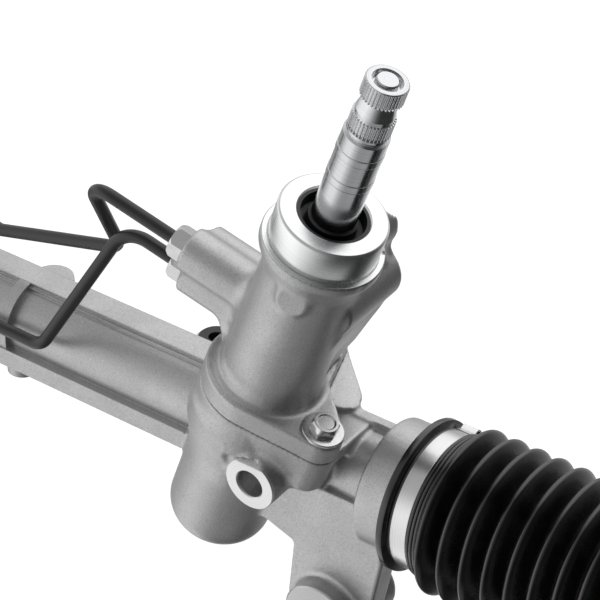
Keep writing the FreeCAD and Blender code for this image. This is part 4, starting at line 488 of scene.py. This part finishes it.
X, Y, Z = along(0), along(1), along(2)
HEIGHT = X * ALONG_PINION.x + Z * ALONG_PINION.z
ACROSS = X * ACROSS_PINION.x + Z * ACROSS_PINION.z
BEHIND = Y - PINION_FOOT.y
print("voxels:", GRID_SIZE.tolist(), "of", VOXEL, "mm")

# %% [markdown]
# ## Machining cuts
# After casting, a lathe and a mill cut flat seats for the collar, the bolts, the pipe fittings and the pad.
# They could be cut by Boolean modifiers, which need closed meshes and often fail on a dense one. On a grid of
# distances a cut is one comparison: the larger of the casting's distance and the hole's negative one.

# %% machining cuts
COLLAR_SEAT, COLLAR_SEAT_RADIUS = 125.9, 25.7
NARROW_SEAT_RADIUS, NARROW_FROM = 23.8, 14
FLANGE_BOLTS = ((33.6, -8.6, 12), (2, 40, 40))  # across, behind, and the turn of the head
BOLT_SEAT, BOLT_SEAT_RADIUS = 46.8, 9.9
PORTS = ((118, 1.8, 7), (96, 10.7, 8))  # height, across, and the radius of the thread
PORTS_END = 6.5
PAD_RADIUS, PAD_TRIM_RADIUS, PAD_TRIM, PAD_TRIM_SLOPE = 12.1, 12.6, 15.7, 0.8
FLANGE_SIDE, FLANGE_SIDE_FROM, FLANGE_SIDE_SLOPE = -40.9, 6, 0.25


def bored(form, distance, radius, depth):
    """The form with a round hole: distance is measured from its axis, and depth is negative inside."""
    return np.maximum(form, -np.maximum(distance - radius, depth))


def machined(form):
    """The castings with the seats and holes that are cut after casting."""
    seat_radius = np.where(BEHIND > NARROW_FROM, NARROW_SEAT_RADIUS, COLLAR_SEAT_RADIUS)
    form = bored(form, np.hypot(ACROSS, BEHIND), seat_radius, COLLAR_SEAT - HEIGHT)
    for across, behind, _ in FLANGE_BOLTS:
        from_bolt = np.hypot(ACROSS - across, BEHIND - behind)
        form = bored(form, from_bolt, BOLT_SEAT_RADIUS, BOLT_SEAT - HEIGHT)
    for height, across, thread in PORTS:
        hole = height * ALONG_PINION + across * ACROSS_PINION
        form = bored(form, np.hypot(X - hole.x, Z - hole.z), thread, PORTS_END - Y)
    from_pad = np.hypot(X - PAD_AT[0], Z - PAD_AT[2])
    form = bored(form, from_pad, PAD_RADIUS, Y - PAD_AT[1])
    flange_side = Y - FLANGE_SIDE - (ACROSS - FLANGE_SIDE_FROM) * FLANGE_SIDE_SLOPE
    top_of_pad = np.maximum(flange_side, PAD_TRIM + (Y - PAD_AT[1]) * PAD_TRIM_SLOPE - Z)
    return bored(form, from_pad, PAD_TRIM_RADIUS, top_of_pad)


print("seats and holes:", 3 + len(FLANGE_BOLTS) + len(PORTS))

# %% [markdown]
# ## From grid to mesh
# The castings have to become meshes again. A Remesh modifier would do that in one step, but it would also close
# the bores and hide the seals and shafts in them. So the surface is taken out of the grid, the faces inside the
# bores are left away, and a light smoothing takes off the voxels' steps.

# %% skin
CUT_FACING = ACROSS_PINION + 0.107 * ALONG_PINION
CUT_PLACE, CUT_OVERLAP = -25.3, 0.4
BORE_RADIUS = 17
PINION_BORE_FROM, PINION_BORE_TO, BAR_BORE_TO = -26, 124, 88
SOFTENING, SOFTENING_STEPS = 0.5, 3
NEVER_SHARP = 180


def outside(points):
    """Faces that can be seen, because they are not in the bores."""
    offset = points - np.array(PINION_FOOT)
    height = offset @ np.array(ALONG_PINION)
    radius = np.linalg.norm(offset - np.outer(height, np.array(ALONG_PINION)), axis=1)
    in_pinion_bore = (radius < BORE_RADIUS) & (height > PINION_BORE_FROM) & (height < PINION_BORE_TO)
    in_bar_bore = (np.hypot(points[:, 1], points[:, 2]) < BORE_RADIUS) & (points[:, 0] < BAR_BORE_TO)
    return ~in_pinion_bore & ~in_bar_bore


def right_of_cut(points):
    """Faces that can be seen, up to where the tube's own faces begin."""
    return outside(points) & (points @ np.array(CUT_FACING) > CUT_PLACE - CUT_OVERLAP)


def skin(name, form, source, keep):
    """The surface of a form as a mesh, without the faces that the function keep refuses."""
    grid = openvdb.FloatGrid(float(form.max()))
    grid.transform = GRID
    grid.copyFromArray(form, ijk=tuple(int(k) for k in GRID_START))
    points, _, quads = grid.convertToPolygons(isovalue=0.0, adaptivity=0.0)
    faces = quads[keep(points[quads].mean(axis=1))][:, ::-1]
    used, renumbered = np.unique(faces, return_inverse=True)
    made = piece(name, points[used], renumbered.reshape(faces.shape).tolist(), CAST, "housing",
                 "cast_aluminium", (source,) if source else (), NEVER_SHARP)
    draft = made.modifiers.new("draft", "SMOOTH")
    draft.factor, draft.iterations = SOFTENING, SOFTENING_STEPS


print("the skin ends", -CUT_PLACE, "mm left of the pinion's axis")

# %% [markdown]
# ## The two castings
# The valve tower is bolted to the gear housing at a flange. Their outsides match, so each runs on into the
# other with only a hairline between. Two meshes rounded one by one would show a groove there. So both are
# rounded as one form, and that form is then parted where the two solids are equally near. The tower gets wider
# fillets than the rest, and they fade out above the flange.

# %% castings
BOTH = ("gear_housing", "valve_housing")
TUBE_CLOSED = -66
FILLET, TOWER_FILLET, PAD_FILLET = 1.3, 6.5, 4
FADE_FROM, FADE_LENGTH, FADE_LIFT = 52, 7, 4
DISC_TURN, DISC_HEIGHT, DISC_RADIUS, DISC_OUT, DISC_IN = math.radians(13.7), 109, 6.4, 21.2, 15
PAD_ROOT, PAD_ROOT_REACH, PAD_ROOT_FADE = (28, -38, 8), 15, 6
HAIRLINE, PARTING_REACH = 0.12, 5

both = rounded(*form_of(BOTH, TUBE_CLOSED), FILLET)
tower = rounded(*form_of(BOTH[1:]), TOWER_FILLET)
fade = np.clip((FADE_FROM - HEIGHT) / FADE_LENGTH, 0, 1)
tower = tower + FADE_LIFT * fade * fade

# A low round disc on the tower's front, left from the mould.
disc_across = ACROSS * math.cos(DISC_TURN) + BEHIND * math.sin(DISC_TURN)
disc_out = ACROSS * math.sin(DISC_TURN) - BEHIND * math.cos(DISC_TURN)
disc = np.maximum(np.hypot(disc_across, HEIGHT - DISC_HEIGHT) - DISC_RADIUS,
                  np.maximum(disc_out - DISC_OUT, DISC_IN - disc_out))

# A wider fillet where the pad's boss grows out of the housing.
from_root = np.sqrt(sum((axis - place) ** 2 for axis, place in zip((X, Y, Z), PAD_ROOT)))
away = np.clip((from_root - PAD_ROOT_REACH) / PAD_ROOT_FADE, 0, 1)
pad_root = rounded(*form_of(BOTH[:1], TUBE_CLOSED), PAD_FILLET) + FADE_LIFT * away * away

form = machined(np.minimum(np.minimum(np.minimum(both, tower), disc), pad_root))
gear = values(distances(*form_of(BOTH[:1], TUBE_CLOSED), None, PARTING_REACH))
valve = values(distances(*form_of(BOTH[1:]), None, PARTING_REACH))
parting = (gear - valve) / 2
skin("gear_casting", np.maximum(form, parting + HAIRLINE), None, right_of_cut)
skin("valve_casting", np.maximum(form, HAIRLINE - parting), "valve_housing", outside)

# %% [markdown]
# ## The tube
# The long tube has crisp rails and ribs with lips thinner than two voxels. A finer grid would hold them, but it
# would take minutes. Their faces are good as they are in the CAD solid, so they are used unchanged, and cut off
# at a slanted plane beside the tower, where the skin begins.

# %% tube
TUBE_SHARP = 28


def cut_off(form, place, facing):
    """Clear the faces of a bmesh on the far side of a plane."""
    bmesh.ops.bisect_plane(form, geom=form.verts[:] + form.edges[:] + form.faces[:],
                           plane_co=place, plane_no=facing, clear_outer=True)


form = bmesh.new()
form.from_mesh(nodes["gear_housing"].data)
cut_off(form, CUT_FACING * (CUT_PLACE / CUT_FACING.length_squared * MM), CUT_FACING)
points = [vertex.co / MM for vertex in form.verts]
form.verts.index_update()
faces = [[vertex.index for vertex in face.verts] for face in form.faces]
form.free()
piece("tube_casting", points, faces, LOOKS["cast_aluminium"], "housing", "cast_aluminium",
      ("gear_housing",), TUBE_SHARP)

# %% [markdown]
# ## Machined faces
# The collar, the pad and the front of the mounting eye are cut after casting, so they are crisp and bright
# against the dull skin. They could be painted on the skin by a mask, but its edge would be as soft as the
# voxels. A thin turned ring with its own small chamfers gives a clean line and its own lathe finish.

# %% machined faces
COLLAR_SECTION = [
    (24.2, 125.5), (24.75, 125.92), (22.75, 125.92), (22.5, 125.7),  # the flat seat round the collar
    (22.3, 125.9), (22.3, 140.2), (22.15, 140.5),  # the round wall
    (21.45, 141.13), (21.3, 141.2), (15.2, 141.2),  # the chamfer and the top
    (14.6, 140.6), (14.5, 140.4), (14.5, 126),  # the bore
]
PAD_SECTION = [(6.3, -11.9), (6.3, -0.5), (6.8, 0.03), (11.75, 0.03), (12, -0.2), (12, -1.5)]
EYE_SECTION = [(9.5, -6), (9.5, -0.5), (10, 0.05), (16.3, 0.05), (17, -0.6), (17, -4)]

piece("collar", *sweep(COLLAR_SECTION, PINION, 192), COLLAR, "housing", "cast_aluminium")
pad = piece("pad_face", *sweep(PAD_SECTION, axes(PAD_AT, FORWARD), 96), PAD, "housing", "cast_aluminium")
piece("eye_face", *sweep(EYE_SECTION, axes(EYE_AT, FORWARD), 128), EYE, "housing", "cast_aluminium")

# The flange block hangs over the pad and cuts a straight piece off its ring.
form = bmesh.new()
form.from_mesh(pad.data)
cut_off(form, (0, 0, PAD_TRIM * MM), UPWARD)
form.to_mesh(pad.data)
form.free()

# %% [markdown]
# ## Flange bolts
# Each bolt has a washer in one piece with its head. The head is forged as a hexagon, its corners are turned off
# at a slant, and a shallow dish is left in the top. A cylinder with six sides and a bevel would miss the curved
# edge that the slant leaves on each flat, which is what makes a bolt look forged. So the rings of the head go
# from a hexagon to a circle, and the corners drop by as much as they stand out.

# %% flange bolts
HEAD_FLATS, HEAD_HEIGHT, HEAD_CHAMFER = 10.8, 6.2, 0.9
DISH_DEPTH, CORNER_DROP = 0.5, 0.9
WASHER_SECTION = [(0.01, 0.02), (8.75, 0.02), (9, 0.25), (9, 1.1), (8.7, 1.4), (6.5, 1.75), (0.01, 1.75)]
ZINC = LOOKS["zinc_plated_steel"]


def hexagon_head(flats, height, chamfer, place, steps=48):
    """Points and faces of a hexagonal prism with a turned chamfer at its top and a shallow dish in it."""
    corner = flats / math.sqrt(3)
    floor = height - DISH_DEPTH
    rings = [(corner, 0, True), (corner, height - chamfer, True), (flats / 2 - 0.25, height, False),
             (flats / 2 - 1.3, height, False), (flats / 2 - 1.9, floor, False), (0.01, floor, False)]
    points, faces = [], []
    for radius, level, is_hexagon in rings:
        for k in range(steps):
            angle = 2 * math.pi * k / steps
            reach, drop = radius, 0
            if is_hexagon:
                from_flat = (angle + math.pi / 6) % (math.pi / 3) - math.pi / 6
                reach = radius * math.cos(math.pi / 6) / math.cos(from_flat)
                if level:
                    drop = chamfer * CORNER_DROP * (reach - flats / 2) / (corner - flats / 2)
            points.append(place @ Vector((reach * math.cos(angle), reach * math.sin(angle), level - drop)))
    for ring in range(len(rings) - 1):
        for k in range(steps):
            here, there = ring * steps + k, ring * steps + (k + 1) % steps
            faces.append((here, there, there + steps, here + steps))
    return points, faces


parts = []
for across, behind, head_turn in FLANGE_BOLTS:
    seat = (PINION @ Matrix.Translation((across, behind, BOLT_SEAT))
            @ Matrix.Rotation(math.radians(head_turn), 4, "Z"))
    parts.append(sweep(WASHER_SECTION, seat, 72))
    parts.append(hexagon_head(HEAD_FLATS, HEAD_HEIGHT, HEAD_CHAMFER, seat))
piece("flange_bolt_heads", *joined(*parts), ZINC, "housing", "zinc_plated_steel", ("flange_bolts",), 30)

# %% [markdown]
# ## Boot clamps
# A steel band holds each boot's lip on the housing. It is a strip with rounded edges, closed by an ear that was
# pinched to tighten it. A plain ring would do from afar, but the strip's rounded edge catches a thin line of
# light beside the black lip. The ear is a short strip laid over an arch of measured points.

# %% boot clamps
ENDS = (("right", 96, 1, "tie_rod_right"), ("left", -532, -1, "tie_rod_left"))  # where the housing ends
BAND_SECTION = [(29.75, -11.3), (30.35, -11.4), (30.5, -11.2), (30.5, -3.9), (30.35, -3.7), (29.75, -3.8)]
EAR_ARCH = ((34, 30.4), (39, 30.6), (41.5, 31), (43, 32.4), (44.5, 33.2), (47, 33.3), (49.5, 33.2),
            (51, 32.4), (52.5, 31), (55, 30.6), (60, 30.4))  # degrees behind the top, and radius
EAR_SIDES, EAR_INSIDE, EAR_OUTSIDE = (-11.1, -4), -0.4, 0.3


def crimped_band(face, sign):
    """A steel band with rounded edges, and the ear that was pinched to tighten it."""
    band = sweep(BAND_SECTION, axes((face, 0, 0), (sign, 0, 0), UPWARD), 160, True)
    points, faces = [], []
    for lift in (EAR_INSIDE, EAR_OUTSIDE):
        for degrees, radius in EAR_ARCH:
            turn = math.radians(degrees)
            for end in EAR_SIDES:
                points.append((face + sign * end, (radius + lift) * math.sin(turn),
                               (radius + lift) * math.cos(turn)))
    count = len(EAR_ARCH) * 2
    for k in range(0, count - 2, 2):
        for near, far in ((k, k + count), (k + 1, k + 1 + count)):
            faces.append((near, near + 2, far + 2, far))
        faces += [(k, k + 1, k + 3, k + 2), (k + count, k + count + 2, k + count + 3, k + count + 1)]
    return joined(band, (points, faces))


for side, face, sign, _ in ENDS:
    clamp = f"boot_clamp_{side}"
    piece(f"boot_clamp_band_{side}", *crimped_band(face, sign), BAND, "housing", slot_of[clamp],
          (clamp,), 20)

# %% [markdown]
# ## Rubber boots
# A boot keeps the dirt out while the bar slides and the tie rod swings. On the real rack its lip stays on the
# housing, its pleats stretch and fold with the bar, and its tail turns with the tie rod. One mesh with an
# armature could do that. Here each boot is two pieces, which meet on the pleats, and neither rides on a body.
# The pleats are a power of a cosine without its sign, which has round ridges and sharp valleys, and they
# shrink toward the tail.

# %% boots
LIP = [(28.2, -16), (33.2, -16.1), (33.45, -16), (33.5, -15.8), (33.5, -13.6), (33.4, -13.3),  # thick rim
       (33.1, -13.2), (30.1, -12.7), (29.8, -12.4), (29.7, -12), (29.7, -3.6), (29.8, -3.3),  # clamp's seat
       (30.3, -3.2), (31.3, -3.1), (31.5, -2.9), (31.5, -1.9), (31.3, -1.7), (31, -1.6),  # first bead
       (31, -1.4), (31.3, -1.3), (31.9, -1.2), (32.1, -1), (32.1, 0), (31.9, 0.2),  # second bead
       (31.6, 0.3), (31.6, 0.5), (31.9, 0.6), (32.3, 0.7), (32.5, 0.9), (32.5, 1.8), (32.3, 2)]  # third bead
TAIL = [(8.9, 145), (8.65, 147), (8.6, 149.2), (8.6, 154.6), (9.3, 155.2), (9.3, 157.2), (8.8, 157.8),
        (6.7, 157.8)]
PLEATS, FULL_PLEATS, PITCH, FIRST_RIDGE = 13, 9, 10.3, 4.9
RIDGE_RADIUS, LAST_RIDGE_RADIUS, NECK_RADIUS = 36.3, 17.5, 9.2
PLEAT_DEPTH, DEPTH_LOST, RIDGE_POWER, MOST_SHRUNK = 9.5, 0.45, 1.25, 1.25
LIP_END, MEETING, TAIL_END = 2.3, 121, 158
SECTION_STEP = 0.43
BOOT_SHARP = 50


def pleated(inner_end, outer_end):
    """The folded part of the half section between two distances outboard of the housing's end face."""
    start = max(inner_end, LIP_END)
    stop = min(outer_end, FIRST_RIDGE + (PLEATS - 0.5) * PITCH - 1)
    steps = int((stop - start) / SECTION_STEP)
    section = []
    for k in range(steps + 1):
        outboard = start + (stop - start) * k / steps
        pleat = (outboard - FIRST_RIDGE) / PITCH
        shrink = min(max(pleat - FULL_PLEATS + 1, 0) / (PLEATS - FULL_PLEATS), MOST_SHRUNK)
        ridge = RIDGE_RADIUS - (RIDGE_RADIUS - LAST_RIDGE_RADIUS) * shrink
        depth = PLEAT_DEPTH * (1 - DEPTH_LOST * shrink)
        radius = ridge - depth + depth * abs(math.cos(math.pi * pleat)) ** RIDGE_POWER
        section.append((max(radius, NECK_RADIUS), outboard))
    return section


def boot_piece(name, section, place, steps, replaced=()):
    """A piece of a boot that rides on no body."""
    return piece(name, *sweep(section, place, steps), LOOKS["boot_rubber"], None, "boot_rubber", replaced,
                 BOOT_SHARP)


for side, face, sign, rod in ENDS:
    place = axes((face, 0, 0), (sign, 0, 0), UPWARD)
    pleats = boot_piece(f"boot_{side}_pleats", LIP + pleated(0, MEETING), place, 160, (f"boot_{side}",))
    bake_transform(pleats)
    tail = boot_piece(f"boot_{side}_tail", pleated(MEETING, TAIL_END) + TAIL, place, 120)
    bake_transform(tail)

# %% [markdown]
# ## Light
# Steel and aluminium show the room around them, so the room is modelled as carefully as the metal: a white
# studio with a tall bright screen at the left of the camera, a dark one at the right, a third behind, and a lit
# ceiling. Area lamps could stand for the screens, but each would show its edges in the ground shaft. The room
# is a world shader instead, drawn by the turn of each direction round the pinion axis. So its screens stand
# along the tower, and their soft edges run along the shaft. The camera itself sees plain white.

# %% room
world = bpy.data.worlds.new("studio")
bpy.context.scene.world = world
world.use_nodes = True
tree = world.node_tree
direction = node(tree, "TexCoord").outputs["Generated"]
front = (back - ALONG_PINION * back.dot(ALONG_PINION)).normalized()
beside = ALONG_PINION.cross(front)


def toward(aim):
    """How far a direction points to the aim, from -1 to 1."""
    return node(tree, "VectorMath", {0: direction, 1: tuple(aim)}, operation="DOT_PRODUCT").outputs["Value"]


turn = node(tree, "Math", {0: toward(beside), 1: toward(front)}, operation="ARCTAN2").outputs[0]
TOP_LEVEL = 1.4  # a ramp's colours end at 1, so levels are divided by this and multiplied again


def walls(screens):
    """Brightness by the turn round the pinion axis, in degrees from the camera's side."""
    ramp = node(tree, "ValToRGB", {0: remap(tree, turn, -math.pi, math.pi)})
    stops = ramp.color_ramp.elements
    for k, (degrees, level) in enumerate(screens):
        spot = (degrees + 180) / 360
        stop = stops[0] if k == 0 else stops[-1] if k == len(screens) - 1 else stops.new(spot)
        stop.position = spot
        stop.color = (level / TOP_LEVEL,) * 3 + (1,)
    return ramp.outputs[0]


def ease(value, low, high):
    """From 0 to 1 between two limits, with a soft start and end."""
    return node(tree, "MapRange", {0: value, 1: low, 2: high, 3: 0.0, 4: 1.0},
                interpolation_type="SMOOTHSTEP").outputs[0]


def mix(factor, first, second):
    """The first value where the factor is 0, and the second where it is 1."""
    return node(tree, "Mix", {0: factor, 2: first, 3: second}, data_type="FLOAT").outputs[0]


print("the camera looks", round(math.degrees(back.angle(ALONG_PINION))), "degrees off the pinion axis")

# %% screens
# Each wall is a row of (degrees, brightness). The skirt lights what faces down, such as the housing's round.
SKIRT = walls(((-180, 0.62), (-150, 0.4), (-125, 0.4), (-100, 0.5), (-84, 0.85), (-66, 1.1), (-38, 1.1),
               (-20, 0.7), (0, 0.4), (20, 0.38), (45, 0.42), (62, 0.36), (72, 0.05), (106, 0.05), (118, 0.4),
               (140, 0.66), (160, 0.85), (180, 0.62)))
MIDDLE = walls(((-180, 0.5), (-160, 0.6), (-120, 1.0), (-90, 1.25), (-50, 1.3), (-20, 0.85), (0, 0.4),
                (20, 0.12), (35, 0.04), (110, 0.04), (125, 0.3), (150, 0.8), (180, 0.5)))
UPPER = walls(((-180, 0.6), (-120, 0.5), (-60, 0.5), (-20, 0.4), (20, 0.15), (40, 0.05), (100, 0.05),
               (140, 0.4), (180, 0.6)))
CEILING = Vector((-0.01, 0.66, 0.75)).normalized()

rise = toward(ALONG_PINION)
room = mix(ease(rise, -0.1, 0.5), MIDDLE, UPPER)
room = mix(ease(rise, -0.6, -0.4), SKIRT, room)
room = mix(ease(rise, -0.95, -0.8), MIDDLE, room)
room = mix(ease(toward(CEILING), 0.65, 0.86), room, 1.0)
room = node(tree, "Math", {0: room, 1: TOP_LEVEL}, operation="MULTIPLY").outputs[0]
shown = mix(node(tree, "LightPath").outputs["Is Camera Ray"], room, 1.0)
tree.links.new(shown, tree.nodes["Background"].inputs["Strength"])
tree.nodes["Background"].inputs["Color"].default_value = (1, 1, 1, 1)
print("nodes in the room:", len(tree.nodes))

# %% [markdown]
# ## Floor
# The rack lies on a white sheet, and the photograph shows nothing of it but white. A real sheet would hide the
# lower half of the studio's screens from the metal, and the undersides would turn flat. So only the camera sees
# this one: for every other ray it is transparent. It glows a little, which keeps it white where the rack's
# shadow would fall.

# %% floor
GLOW, PAPER_SHARE = 1.25, 0.3
BELOW_RACK, HALF_WIDTH = 0.2, 3
sheet = bpy.data.materials.new("white_paper_sweep")
sheet.use_nodes = True
tree = sheet.node_tree
paper = node(tree, "BsdfDiffuse", {"Color": (1, 1, 1, 1)}).outputs[0]
glow = node(tree, "Emission", {"Strength": GLOW}).outputs[0]
white = node(tree, "MixShader", {0: PAPER_SHARE, 1: glow, 2: paper}).outputs[0]
clear = node(tree, "BsdfTransparent").outputs[0]
seen = node(tree, "LightPath").outputs["Is Camera Ray"]
lit = node(tree, "MixShader", {0: seen, 1: clear, 2: white}).outputs[0]
tree.links.new(lit, tree.nodes["Material Output"].inputs["Surface"])
lowest = cad_bounds[0][2] / MM - BELOW_RACK
floor = bpy.data.meshes.new("floor")
floor.from_pydata([(x * HALF_WIDTH, y * HALF_WIDTH, lowest * MM)
                   for x, y in ((-1, -1), (1, -1), (1, 1), (-1, 1))], [], [(0, 1, 2, 3)])
floor.materials.append(sheet)
floor = bpy.data.objects.new("floor", floor)
bpy.context.scene.collection.objects.link(floor)
bpy.context.scene.view_settings.view_transform = "Standard"
print("floor at", round(lowest, 1), "mm")
